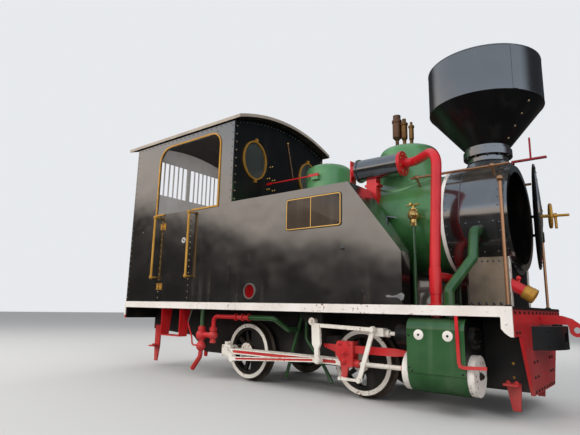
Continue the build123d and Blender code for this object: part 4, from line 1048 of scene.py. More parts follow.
@dataclass
class CabDressing(Dressing):
    """Rivets, studs, slots and inside finishes of the cab.

    Spots on the side sheets are X and Z, and those on the front wall are Y and Z.
    """

    rivet: float = 0.0075
    wall_rivet: float = 0.009
    worn_z: float = 1.77
    plug: Spot = (-2.07, 1.697)
    roof_bolts: tuple[Spot, Spot] = ((-1.064, 2.859), (-0.741, 2.785))
    roof_rise: float = 0.165
    roof_sheet: float = 0.037
    lap_x: Span = (-1.75, -1.05)
    lap_reach: Span = (0.18, 0.87)
    lap_width: float = 0.05
    lock: Spot = (-1.229, 1.534)
    lock_radius: float = 0.036
    hinge_half: float = 0.038
    window_y: Span = (0.03, 0.76)
    window_z: Span = (2.298, 2.812)
    edging: float = 0.024
    studs: tuple[Spot, ...] = (
        (-0.241, 2.454), (-0.287, 2.298), (-0.194, 2.295), (-0.290, 2.167), (-0.192, 2.169),
    )
    rod: tuple[Spot, Spot] = ((0.068, 2.838), (0.187, 2.423))

    def __post_init__(self) -> None:
        """Reads the walls, the roof and the doors' hinges from the frame."""
        low, high = self.packed.low, self.packed.high
        self.side_y = high("cab_sides").y
        self.rear_x = low("cab_rear").x
        self.front_x = high("cab_front").x
        self.foot_z = low("cab_sides").z + 0.048
        self.tank_z = high("side_tanks").z
        self.eave_z = low("cab_roof").z
        self.roof_radius = (high("cab_roof").y ** 2 + self.roof_rise ** 2) / (2 * self.roof_rise)
        self.door_x = (low("cab_door_right").x - 0.026, high("cab_door_right").x + 0.006)
        self.door_top = high("cab_door_right").z - 0.033
        self.hinge = self.packed.pivot("cab_door_left_swing")
        fittings = "door_fittings_left"
        self.hinge_z = (low(fittings).z + self.hinge_half, high(fittings).z - self.hinge_half)

    def roof_z(self, y: float) -> float:
        """The height of the roof's underside at a distance from the middle."""
        return self.eave_z + self.roof_rise - self.roof_radius + math.sqrt(self.roof_radius ** 2 - y ** 2)

    def repaint(self, dresser: Dresser) -> None:
        """Paints the inside of the cab, the roof's underside and the lock plates."""
        def inward(place: Vector, out: Vector) -> bool:
            """Whether a face looks at the middle of the locomotive."""
            return place.y * out.y < -0.1

        def under_roof(place: Vector, out: Vector) -> bool:
            """Whether a face is the roof's underside, behind the front wall."""
            return out.z < -0.5 and place.x < self.front_x - 0.1

        dresser.paint("cab_sides", GREY, inward)
        dresser.paint("cab_front", GREY, lambda place, out: out.x < -0.9)
        dresser.paint("cab_rear", GREY, lambda place, out: place.x > self.rear_x + 0.002)
        dresser.paint("cab_roof", ROOF_INSIDE, under_roof)
        for side in Side:
            dresser.paint(f"cab_door_{side.word}", GREY, inward)
            dresser.paint(f"door_fittings_{side.word}", GREY, self._in_lock)

    def build(self, bench: Bench) -> None:
        """Adds the rivets, slots, studs and laps."""
        for side in Side:
            self._side(bench, side)
            self._door(bench, side)
        self._walls(bench)
        self._edging(bench)
        self._studs(bench)
        self._roof(bench)

    def _in_lock(self, place: Vector, out: Vector) -> bool:
        """Whether a face belongs to a door's round lock plate, whichever way it looks."""
        return math.hypot(place.x - self.lock[0], place.z - self.lock[1]) < self.lock_radius

    def _side(self, bench: Bench, side: Side) -> None:
        """Adds one side sheet's rivets, worn bright below and still painted above."""
        y = side.value * self.side_y
        rear, front, top = self.rear_x + 0.022, self.front_x - 0.024, self.eave_z - 0.03
        bright = bench.work("cab_side_rivets", WORN_RIVET_AND_GLINT)
        for x in self.door_x:
            bright.row((x, y, self.foot_z), (x, y, self.door_top), 15, side.out, self.rivet)
        bright.row((rear, y, self.foot_z), (rear, y, self.worn_z - 0.03), 14, side.out, self.rivet)
        dark = bench.work("cab_side_rivets", BLACK)
        dark.row((rear, y, self.worn_z + 0.03), (rear, y, top - 0.012), 15, side.out, self.rivet)
        dark.row((self.rear_x + 0.09, y, top), (self.front_x - 0.06, y, top), 22, side.out, self.rivet)
        dark.row((front, y, self.tank_z + 0.055), (front, y, top - 0.032), 11, side.out, self.rivet)
        bright.rivet((self.plug[0], y, self.plug[1]), side.out, 0.008)
        for x, z in self.roof_bolts:
            dark.rivet((x, y, z), side.out, self.wall_rivet)

    def _door(self, bench: Bench, side: Side) -> None:
        """Adds a black plate as painted shade in the slot of one door's lock, black rings as painted shade in
        the gaps between its hinges' knuckles, and the hinges' dark screws.
        """
        dark = bench.work(f"door_{side.word}_slots", FRAME_BLACK, f"cab_door_{side.word}")
        # A thin black plate stands for the shade inside the lock's slot: painted shade.
        slant, rise = Vector((0.79, 0.0, -0.61)), Vector((0.61, 0.0, 0.79))
        centre = Vector((self.lock[0], side.value * (self.side_y + 0.0098), self.lock[1]))
        corners = [centre + along * 0.022 * slant + up * 0.006 * rise
                   for along, up in ((-1, -1), (1, -1), (1, 1), (-1, 1))]
        dark.plate(corners, side.out, 0.0015, 0.0)
        # Black sleeves round the hinge pin stand for the shade in the gaps between the knuckles: painted
        # shade.
        gap = ((0.0082, 0.0), (0.0092, 0.0006), (0.0092, 0.0234), (0.0082, 0.024))
        for middle in self.hinge_z:
            for low in (0.010, -0.034):
                foot = (self.hinge.x, side.value * self.hinge.y, middle + low)
                dark.turned(foot, Axis.Z.value, gap, 28, True)
            for above in (-0.024, 0.024):
                screw = (self.hinge.x + 0.036, side.value * (self.side_y + 0.006), middle + above)
                dark.rivet(screw, side.out, 0.005)

    def _walls(self, bench: Bench) -> None:
        """Adds the rivets of the front and rear walls."""
        front = bench.work("cab_front_rivets", WORN_RIVET_AND_GLINT)
        edge = bench.work("cab_front_rivets", BLACK)
        rear = bench.work("cab_rear_rivets", BLACK)
        top = self.eave_z - 0.062
        for sign in (-1, 1):
            y = sign * (self.side_y - 0.044)
            start = (self.front_x, y, self.tank_z + 0.04)
            front.row(start, (self.front_x, y, top), 10, Axis.X.value, self.wall_rivet)
            rear.row((self.rear_x, y, self.foot_z), (self.rear_x, y, top), 26, REARWARD, self.wall_rivet)
        for step in range(27):
            y = -0.79 + 1.58 * step / 26
            z = self.roof_z(y) - 0.045
            edge.rivet((self.front_x, y, z), Axis.X.value, self.wall_rivet)
            rear.rivet((self.rear_x, y, z), REARWARD, self.wall_rivet)
        start, end = ((self.rear_x, y, self.foot_z) for y in (-0.8, 0.8))
        rear.row(start, end, 24, REARWARD, self.wall_rivet)

    def _edging(self, bench: Bench) -> None:
        """Adds the strips round the two rear windows."""
        strips = bench.work("rear_window_edging", GREY)
        width, half, proud = self.edging, self.edging / 2, 0.006
        bottom, top = self.window_z
        for sign in (-1, 1):
            low, high = sorted(sign * y for y in self.window_y)
            for y in (low - half, high + half):
                post = [(self.rear_x, y, z) for z in (bottom - half, top + half)]
                strips.band(post, Axis.Y.value, width, -proud)
            for z in (bottom, top):
                rail = [(self.rear_x, y, z) for y in (low - width, high + width)]
                strips.band(rail, Axis.Z.value, width, proud)

    def _studs(self, bench: Bench) -> None:
        """Adds the brass studs on the front wall and the rod with a ball at its top."""
        brass = bench.work("cab_front_studs", BRASS)
        stud = ((0.012, 0.0), (0.012, 0.004), (0.006, 0.008), (0.006, 0.02), (0.012, 0.026), (0.012, 0.036),
                (0.006, 0.042), (0.0, 0.043))
        for y, z in self.studs:
            brass.turned((self.front_x, y, z), Axis.X.value, stud, 12)
        x = self.front_x + 0.016
        copper = bench.work("cab_front_rod", COPPER)
        copper.tube([(x, y, z) for y, z in self.rod], 0.006)
        turns = [math.pi * step / 8 for step in range(1, 8)]
        ball = [(0.018 * math.sin(turn), -0.018 * math.cos(turn)) for turn in turns]
        brass.turned((x, self.rod[0][0] - 0.002, self.rod[0][1] + 0.008), Axis.Z.value, ball, 12)
        for y, z in self.rod:
            foot = ((0.009, 0.0), (0.009, 0.024), (0.0, 0.026))
            copper.turned((self.front_x, y, z), Axis.X.value, foot, 10)

    def _roof(self, bench: Bench) -> None:
        """Adds the riveted lap strips on the roof, short of its crown to stay within the height."""
        strips = bench.work("roof_laps", CREAM)
        start, end = self.lap_reach
        for x in self.lap_x:
            for sign in (-1, 1):
                across = sorted(sign * (start + (end - start) * step / 12) for step in range(13))
                line = [(x, y, self.roof_z(y) + self.roof_sheet) for y in across]
                strips.band(line, Axis.X.value, self.lap_width, 0.003)
                for _, y, z in line[1:-1]:
                    for offset in (-0.016, 0.016):
                        strips.rivet((x + offset, y, z + 0.0025), (0.0, y / self.roof_radius, 1.0), 0.006)


@dataclass
class TankDressing(Dressing):
    """The blank builder's plate, washout hole, bolt and step of the tanks, and a patch of peeled paint.

    The spots are X and Z.
    """

    plate_low: Spot = (0.318, 1.508)
    plate_high: Spot = (0.956, 1.822)
    plate_thickness: float = 0.008
    divider_x: float = 0.619
    hole: Spot = (-0.137, 0.933)
    hole_radius: float = 0.082
    bolt: Spot = (0.965, 1.304)
    step: tuple[Point, ...] = ((1.13, 0.478, 1.610), (1.255, 0.478, 1.610), (1.335, 0.560, 1.585),
                               (1.225, 0.560, 1.610))
    peeled: tuple[Spot, ...] = (
        (1.375, 0.891), (1.406, 0.896), (1.432, 0.887), (1.467, 0.893), (1.493, 0.906), (1.519, 0.912),
        (1.540, 0.895), (1.531, 0.863), (1.509, 0.848), (1.497, 0.867), (1.467, 0.876), (1.423, 0.877),
        (1.388, 0.876),
    )

    def __post_init__(self) -> None:
        """Reads the tanks' side from the frame."""
        self.side_y = self.packed.high("side_tanks").y

    def build(self, bench: Bench) -> None:
        """Adds everything on both tanks."""
        for side in Side:
            self._plate(bench, side)
            self._hole(bench, side)
            corners = [(x, side.value * y, z) for x, y, z in self.step]
            bench.work("tank_slope_step", BLACK).plate(corners, Axis.Z.value, 0.012)
        patch = [(x, -self.side_y, z) for x, z in self.peeled]
        bench.work("tank_peeled_patch", PEELED).plate(patch, Side.RIGHT.out, 0.0006, 0.0)

    def _plate(self, bench: Bench, side: Side) -> None:
        """Adds the blank builder's plate with its raised brass border, divider and studs."""
        low, high = self.plate_low, self.plate_high
        outline = rounded(low, high, 0.030, side.value * self.side_y)
        bench.work("builders_plate", PLATE_BLACK).plate(outline, side.out, self.plate_thickness)
        brass = bench.work("builders_plate_border", BRASS)
        face = side.value * (self.side_y + self.plate_thickness - 0.0002)
        outer, inner = (
            rounded((low[0] + inset, low[1] + inset), (high[0] - inset, high[1] - inset), radius, face)
            for inset, radius in ((0.006, 0.026), (0.015, 0.017))
        )
        brass.border(outer, inner, side.out, 0.003)
        divider = [(self.divider_x, face, z) for z in (low[1] + 0.014, high[1] - 0.014)]
        brass.band(divider, Axis.X.value, 0.007, -0.003 * side.value)
        studs = bench.work("builders_plate_studs", PLATE_BLACK)
        for x in (low[0] + 0.034, high[0] - 0.034):
            for z in (low[1] + 0.034, high[1] - 0.034):
                studs.rivet((x, face, z), side.out, 0.010)

    def _hole(self, bench: Bench, side: Side) -> None:
        """Adds the silver ring with its red inside, darkened as painted shade of the hole, and the dark nut
        ahead of it.
        """
        reach = self.hole_radius
        place = (self.hole[0], side.value * self.side_y, self.hole[1])
        ring = ((reach, 0.0), (reach, 0.010), (reach - 0.004, 0.015), (reach - 0.012, 0.015),
                (reach - 0.016, 0.010), (reach - 0.016, 0.0))
        bench.work("tank_hole_ring", STEEL).turned(place, side.out, ring, 40, True)
        # A nearly flat disc in the darkened red stands for the hole's shaded inside: painted shade.
        inside = ((reach - 0.016, 0.0), (reach - 0.016, 0.006), (reach - 0.024, 0.003), (0.0, 0.002))
        bench.work("tank_hole_inside", HOLE_RED_PAINTED_SHADE).turned(place, side.out, inside, 40)
        nut = (self.bolt[0], side.value * self.side_y, self.bolt[1])
        bench.work("tank_bolts", BLACK).nut(nut, side.out, 0.018)


@dataclass
class BoilerDressing(Dressing):
    """Seams, patches, nuts and rings of boiler, smokebox, regulator, domes and chimney.

    The cone's ends and the collars are a radius and a height, a dome is its X, its radius and its top, and a
    row of bolts or rivets is its first X, its last X and its height.
    """

    seam_x: float = 1.868
    plate_x: float = 2.207
    patch_x: Span = (1.888, 2.163)
    patch_turn: Span = (189.0, 223.0)
    cone: tuple[Spot, Spot] = ((0.194, 2.252), (0.499, 2.624))
    seam_turn: float = -45.0
    cone_turn: float = -24.0
    collar: Spot = (0.2015, 2.2205)
    collar_nuts: Spot = (0.193, 2.1635)
    regulator_y: float = -0.450
    regulator_z: float = 2.119
    regulator_flange: float = 0.116
    domes: tuple[tuple[float, ...], ...] = ((1.225, 0.296, 2.413), (0.233, 0.263, 2.394))
    cap_top: float = 0.99
    seam_turns: Span = (52.0, 190.0)
    foot_bolts: tuple[float, ...] = (1.895, 2.12, 0.845)
    top_rivets: tuple[float, ...] = (1.900, 2.12, 1.190)
    edge_tops: Span = (1.222, 1.206)
    edge_width: float = 0.06
    whistle_x: float = 1.14
    dome_top: float = 2.3

    def __post_init__(self) -> None:
        """Reads the smokebox, the chimney, the regulator and the saddle from the frame."""
        low, high = self.packed.low, self.packed.high
        self.axis_z = self.packed.pivot("smokebox_door_swing").z
        self.radius = high("smokebox").z - self.axis_z
        self.rear_row_x = low("smokebox").x + 0.018
        self.chimney_radius = high("chimney").y
        self.chimney_x = high("chimney").x - self.chimney_radius
        self.chimney_top = high("chimney").z
        self.regulator_x = (low("regulator_housing").x, high("regulator_housing").x)
        self.saddle = high("saddle")
        self.saddle_foot = low("saddle").z

    def repaint(self, dresser: Dresser) -> None:
        """Paints soot inside the smokebox and chimney, painted shade on the chimney's downward faces, and the
        parts with a colour of their own.
        """
        def inside_shell(place: Vector, out: Vector) -> bool:
            """Whether a face looks at the boiler's axis."""
            return place.y * out.y + (place.z - self.axis_z) * out.z < -0.05

        def inside_chimney(place: Vector, out: Vector) -> bool:
            """Whether a face looks at the chimney's axis."""
            return (place.x - self.chimney_x) * out.x + place.y * out.y < -0.02

        def in_cap(place: Vector, out: Vector) -> bool:
            """Whether a face belongs to the cleaning pipe's brass cap."""
            ahead = (place - Vector(CAP_FOOT)).dot(Vector(CAP_WAY).normalized())
            return ahead > -0.002 and place.z < self.cap_top

        dresser.paint("smokebox", SOOT, inside_shell)
        dresser.paint("smokebox_front", SOOT, inside_shell)
        dresser.paint("smokebox_door", SOOT, lambda place, out: out.x < -0.8)
        dresser.paint("boiler_barrel", SOOT, lambda place, out: out.x > 0.9 and place.x > 1.7)
        # Downward faces of the chimney in the darker, duller black: painted shade.
        dresser.paint("chimney", SHADED_MATT_BLACK, lambda place, out: out.z < -0.3)
        dresser.paint("chimney", SOOT, inside_chimney)
        dresser.paint("saddle", FRAME_BLACK, lambda place, out: abs(out.x) > 0.9)
        dresser.paint("front_fittings", GOLD, in_cap)
        dresser.paint("front_fittings", MAROON, lambda place, out: place.z > 1.5)
        dresser.paint("boiler_valves", OLD_BRASS,
                      lambda place, out: place.z > self.dome_top and place.x >= self.whistle_x)
        dresser.paint("boiler_valves", BRONZE,
                      lambda place, out: place.z > self.dome_top and place.x < self.whistle_x)

    def arc(self, x: float, radius: float, start: float, end: float, steps: int = 24) -> list[Point]:
        """Points round the boiler's axis.

        Args:
            x: Where along the boiler.
            radius: How far from its axis.
            start: The first angle in degrees, from the left side over the top.
            end: The last angle in degrees.
            steps: The number of runs between them.

        Returns:
            The points in order.
        """
        turns = [math.radians(start + (end - start) * step / steps) for step in range(steps + 1)]
        return [(x, radius * math.cos(turn), self.axis_z + radius * math.sin(turn)) for turn in turns]

    def build(self, bench: Bench) -> None:
        """Adds everything on the boiler."""
        self._smokebox(bench)
        self._chimney(bench)
        self._regulator(bench)
        self._domes(bench)
        self._saddle(bench)

    def _smokebox(self, bench: Bench) -> None:
        """Adds the smokebox's rivets, its seam and its side patches."""
        rivets = bench.work("smokebox_rivets", BLACK)
        for x in (self.plate_x - 0.030, self.rear_row_x):
            rivets.ring((x, 0.0, self.axis_z), Axis.X, self.radius, 44, 0.008, outward=True)
        rivets.ring((self.plate_x, 0.0, self.axis_z), Axis.X, self.radius - 0.016, 40, 0.008)
        seam = bench.work("smokebox_seam", WORN_SEAM)
        seam.band(self.arc(self.seam_x, self.radius, *self.seam_turns), Axis.X.value, 0.007, -0.0015)
        patches = bench.work("smokebox_patches", BLACK)
        rear, front = self.patch_x
        middle, proud = (rear + front) / 2, 0.006
        for side in Side:
            way = -side.value
            start, end = (turn if side is Side.RIGHT else 540.0 - turn for turn in self.patch_turn)
            patches.band(self.arc(middle, self.radius, start, end), Axis.X.value, front - rear, -proud * way)
            for turn in (start + 2.0 * way, end - 2.0 * way):
                for x in (rear + 0.03, middle, front - 0.03):
                    place = self.arc(x, self.radius + proud, turn, turn, 1)[0]
                    rivets.rivet(place, (0.0, place[1], place[2] - self.axis_z), 0.009)

    def _chimney(self, bench: Bench) -> None:
        """Adds the chimney's seam, pale lap rivets as painted glints, rim beads, collar rivets and collar
        nuts.
        """
        def outward(degrees: float) -> tuple[Vector, Vector]:
            """The direction away from the chimney's axis at an angle, and the one across it."""
            turn = math.radians(degrees)
            away = Vector((math.cos(turn), math.sin(turn), 0.0))
            return away, Vector((-away.y, away.x, 0.0))

        black = bench.work("chimney_details", BLACK)
        belly_z = self.cone[1][1]
        away, across = outward(self.seam_turn)
        foot = Vector((self.chimney_x, 0.0, belly_z)) + (self.chimney_radius - 0.001) * away
        black.band([foot + Vector((0.0, 0.0, rise)) for rise in (0.004, 0.410)], across, 0.045, 0.004)
        away, across = outward(self.cone_turn)
        low, high = (Vector((self.chimney_x, 0.0, z)) + reach * away for reach, z in self.cone)
        out = across.cross((high - low).normalized())
        # The pale lap rivets stand for glints of light on the cone: painted highlight.
        laps = bench.work("chimney_lap_rivets", WORN_RIVET_AND_GLINT)
        for share in (0.12, 0.36, 0.60, 0.84):
            laps.rivet(low.lerp(high, share) - 0.001 * out, out, 0.011)
        reach = self.chimney_radius
        rim = ((reach, 0.0), (reach + 0.002, 0.003), (reach, 0.006), (reach - 0.004, 0.003))
        for z in (belly_z - 0.003, self.chimney_top - 0.012):
            black.turned((self.chimney_x, 0.0, z), Axis.Z.value, rim, 72, True)
        reach, z = self.collar
        black.ring((self.chimney_x, 0.0, z), Axis.Z, reach, 16, 0.008)
        reach, z = self.collar_nuts
        nuts = bench.work("chimney_collar_nuts", WORN_SEAM)
        nuts.ring((self.chimney_x, 0.0, z), Axis.Z, reach, 12, 0.011, Head.NUT, back=True)

    def _regulator(self, bench: Bench) -> None:
        """Adds the brass nuts of the regulator's flanges and the bead on its casing."""
        (rear, front), y, z = self.regulator_x, self.regulator_y, self.regulator_z
        brass = bench.work("regulator_nuts", BRASS)
        brass.ring((front + 0.030, y, z), Axis.X, 0.088, 8, 0.010, Head.NUT)
        brass.ring((rear, y, z), Axis.X, 0.088, 8, 0.010, Head.NUT, back=True)
        for rise in (-0.070, 0.0, 0.070):
            brass.nut((rear - 0.078, y, z + rise), REARWARD, 0.012)
        reach = self.regulator_flange
        bead = ((reach, 0.0), (reach + 0.002, 0.004), (reach, 0.008), (reach - 0.003, 0.004))
        bench.work("regulator_ring", RED).turned((front + 0.011, y, z), Axis.X.value, bead, 36, True)

    def _domes(self, bench: Bench) -> None:
        """Adds the cover plates on the domes' tops with their nuts."""
        # Cover plates and nuts in the lighter dome green: painted highlight.
        green = bench.work("dome_details", LIT_DOME_GREEN)
        for x, radius, top in self.domes:
            cover = ((radius * 0.5, 0.0), (radius * 0.5, 0.004), (radius * 0.46, 0.008), (0.0, 0.008))
            green.turned((x, 0.0, top), Axis.Z.value, cover, 40)
            green.ring((x, 0.0, top + 0.0075), Axis.Z, radius * 0.4, 10, 0.009, Head.NUT)

    def _saddle(self, bench: Bench) -> None:
        """Adds the saddle's pale front edge and its rows of bolts and rivets."""
        pale = bench.work("saddle_edges", WHITE)
        bolts = bench.work("saddle_bolts", BLACK)
        x, low = self.saddle.x, self.saddle_foot + 0.004
        outer_z, inner_z = self.edge_tops
        for side in Side.RIGHT, Side.LEFT:
            y = side.value * self.saddle.y
            inner = y - side.value * self.edge_width
            corners = [(x, y, low), (x, y, outer_z), (x, inner, inner_z), (x, inner, low)]
            pale.plate(corners, Axis.X.value, 0.004, 0.001)
            start, end, z = self.foot_bolts
            bolts.row((start, y, z), (end, y, z), 5, side.out, 0.011, Head.NUT)
            start, end, z = self.top_rivets
            bolts.row((start, y, z), (end, y, z), 6, side.out, 0.009)


@dataclass
class DoorDressing(Dressing):
    """Rivets of the smokebox door, placed on the closed door and swung ajar with it."""

    ajar: float = math.radians(13.0)
    face_x: float = 2.256
    rim: float = 0.432
    strap_y: Span = (0.385, 0.425)
    strap_half: float = 0.052
    body: str = "smokebox_door"

    def __post_init__(self) -> None:
        """Reads the hinge from the frame."""
        self.hinge = self.packed.pivot("smokebox_door_swing")

    def swung(self, x: float, y: float, z: float) -> Point:
        """The place of a closed door's point when the door stands ajar."""
        ahead, aside = x - self.hinge.x, y - self.hinge.y
        return (self.hinge.x + ahead * math.cos(self.ajar) - aside * math.sin(self.ajar),
                self.hinge.y + ahead * math.sin(self.ajar) + aside * math.cos(self.ajar), z)

    def build(self, bench: Bench) -> None:
        """Adds the rivets round the rim and on the straps."""
        out = (math.cos(self.ajar), math.sin(self.ajar), 0.0)
        black = bench.work("smokebox_door_rivets", BLACK, self.body)
        for step in range(28):
            turn = math.tau * (step + 0.5) / 28
            y, z = self.rim * math.cos(turn), self.hinge.z + self.rim * math.sin(turn)
            black.rivet(self.swung(self.face_x, y, z), out, 0.008)
        for z in (self.hinge.z - self.strap_half, self.hinge.z + self.strap_half):
            for y in self.strap_y:
                black.rivet(self.swung(self.face_x + 0.011, y, z), out, 0.010)


@dataclass
class FrameDressing(Dressing):
    """Rivets, angles and bolts of beams, guard irons, steps and edge strips.

    A row across the locomotive is its reach and its height, and a row along it is its first X, its last X and
    its height.
    """

    beam_half: float = 0.874
    angle_z: Span = (0.797, 0.8055)
    beam_row: Spot = (0.82, 0.778)
    beam_ends: tuple[float, ...] = (0.72, 0.80, 0.64)
    hook_nut: Spot = (0.05, 0.74)
    coupler_z: float = 0.676
    pin_ahead: float = 0.120
    box_nut: Spot = (0.094, 0.25)
    box_nut_z: Span = (0.53, 0.646)
    apron_rivets: tuple[Spot, ...] = ((0.338, 0.413), (0.241, 0.413), (0.340, 0.304), (0.243, 0.304))
    apron_row: Spot = (0.345, 0.200)
    plate_nut: Spot = (2.20, 0.425)
    plate_nut_z: Span = (0.399, 0.297)
    edge_row: tuple[float, ...] = (-2.20, 2.16, 0.780)
    edge_end: Spot = (2.285, 0.700)
    hanger_y: Span = (0.75, 0.84)
    hanger_z: Span = (0.780, 0.740)
    tread: Spot = (0.80, 0.442)
    tread_x: tuple[float, ...] = (-1.50, -1.39, -1.28)
    iron_x: Span = (2.168, 2.226)
    iron_y: float = 0.478
    iron_z: float = 0.261

    def __post_init__(self) -> None:
        """Reads the beams' faces and the edge strips from the frame."""
        self.face_x = self.packed.high("buffer_beams").x
        self.edge_y = self.packed.high("board_edges").y
        self.step_x = (self.packed.low("cab_steps").x, self.packed.high("cab_steps").x)

    def repaint(self, dresser: Dresser) -> None:
        """Paints the inner faces of the beams black."""
        def inner(place: Vector, out: Vector) -> bool:
            """Whether a face looks along the locomotive at its middle."""
            return place.x * out.x < -0.1 and abs(out.x) > 0.9

        dresser.paint("buffer_beams", FRAME_BLACK, inner)

    def build(self, bench: Bench) -> None:
        """Adds everything on the frame."""
        self._beams(bench)
        self._couplers(bench)
        self._apron(bench)
        self._edges(bench)
        self._guards(bench)
        self._steps(bench)

    def _beams(self, bench: Bench) -> None:
        """Adds the rivets, the top angle and the draw hook's nuts of both beams."""
        dark = bench.work("beam_rivets", FRAME_BLACK)
        angle = bench.work("beam_top_angles", FRAME_BLACK)
        low, high = self.angle_z
        row_y, row_z = self.beam_row
        near, far, end_z = self.beam_ends
        hook_y, hook_z = self.hook_nut
        for sign in (-1, 1):
            x, out = sign * self.face_x, (float(sign), 0.0, 0.0)
            dark.row((x, -row_y, row_z), (x, row_y, row_z), 13, out, 0.012)
            corners = [(x, y * self.beam_half, z) for y, z in ((-1, high), (1, high), (1, low), (-1, low))]
            angle.plate(corners, out, 0.006)
            for y in (-far, -near, near, far):
                dark.rivet((x, y, end_z), out, 0.011)
            for y in (-hook_y, hook_y):
                bench.work("draw_hook_nuts", RED).nut((x, y, hook_z), out, 0.013)

    def _couplers(self, bench: Bench) -> None:
        """Adds the heads of the coupler pins and the nuts on the buffing boxes."""
        dark = bench.work("buffing_box_pins", FRAME_BLACK)
        cap = ((0.036, 0.0), (0.036, 0.012), (0.020, 0.018), (0.0, 0.019))
        ahead, aside = self.box_nut
        for sign in (-1, 1):
            pin_x = sign * (self.face_x + self.pin_ahead)
            dark.turned((pin_x, 0.0, self.coupler_z), Axis.Z.value, cap, 18)
            for y in (-aside, aside):
                out = (float(sign), math.copysign(0.45, y), 0.0)
                for z in self.box_nut_z:
                    dark.nut((sign * (self.face_x + ahead), y, z), out, 0.014)

    def _apron(self, bench: Bench) -> None:
        """Adds the rivets of the tapered plate below the front beam and the nuts behind it."""
        dark = bench.work("apron_rivets", FRAME_BLACK)
        for sign in (-1, 1):
            for y, z in self.apron_rivets:
                dark.rivet((self.face_x, sign * y, z), Axis.X.value, 0.013)
        y, z = self.apron_row
        dark.row((self.face_x, -y, z), (self.face_x, y, z), 8, Axis.X.value, 0.013)
        gold = bench.work("frame_front_nuts", GOLD)
        x, y = self.plate_nut
        for side in Side.RIGHT, Side.LEFT:
            for z in self.plate_nut_z:
                gold.nut((x, side.value * y, z), side.out, 0.008)

    def _edges(self, bench: Bench) -> None:
        """Adds the bolts of the white edge strips."""
        bolts = bench.work("board_edge_bolts", WHITE)
        start, end, row_z = self.edge_row
        x, z = self.edge_end
        for side in Side.RIGHT, Side.LEFT:
            y = side.value * self.edge_y
            bolts.row((start, y, row_z), (end, y, row_z), 12, side.out, 0.006)
            bolts.rivet((x, y, z), side.out, 0.010)

    def _guards(self, bench: Bench) -> None:
        """Adds the bolts of the guard irons."""
        red = bench.work("guard_iron_bolts", RED)
        for end in (-1, 1):
            for sign in (-1, 1):
                for x in self.iron_x:
                    red.nut((end * x, sign * self.iron_y, self.iron_z), Axis.Z.value, 0.017)

    def _steps(self, bench: Bench) -> None:
        """Adds the bolts and rivets of the cab steps."""
        red = bench.work("step_bolts", RED)
        for sign in (-1, 1):
            for x, out in zip(self.step_x, (REARWARD, Axis.X.value)):
                for y in self.hanger_y:
                    for z in self.hanger_z:
                        red.nut((x, sign * y, z), out, 0.011)
            for x in self.tread_x:
                red.rivet((x, sign * self.tread[0], self.tread[1]), Axis.Z.value, 0.008)


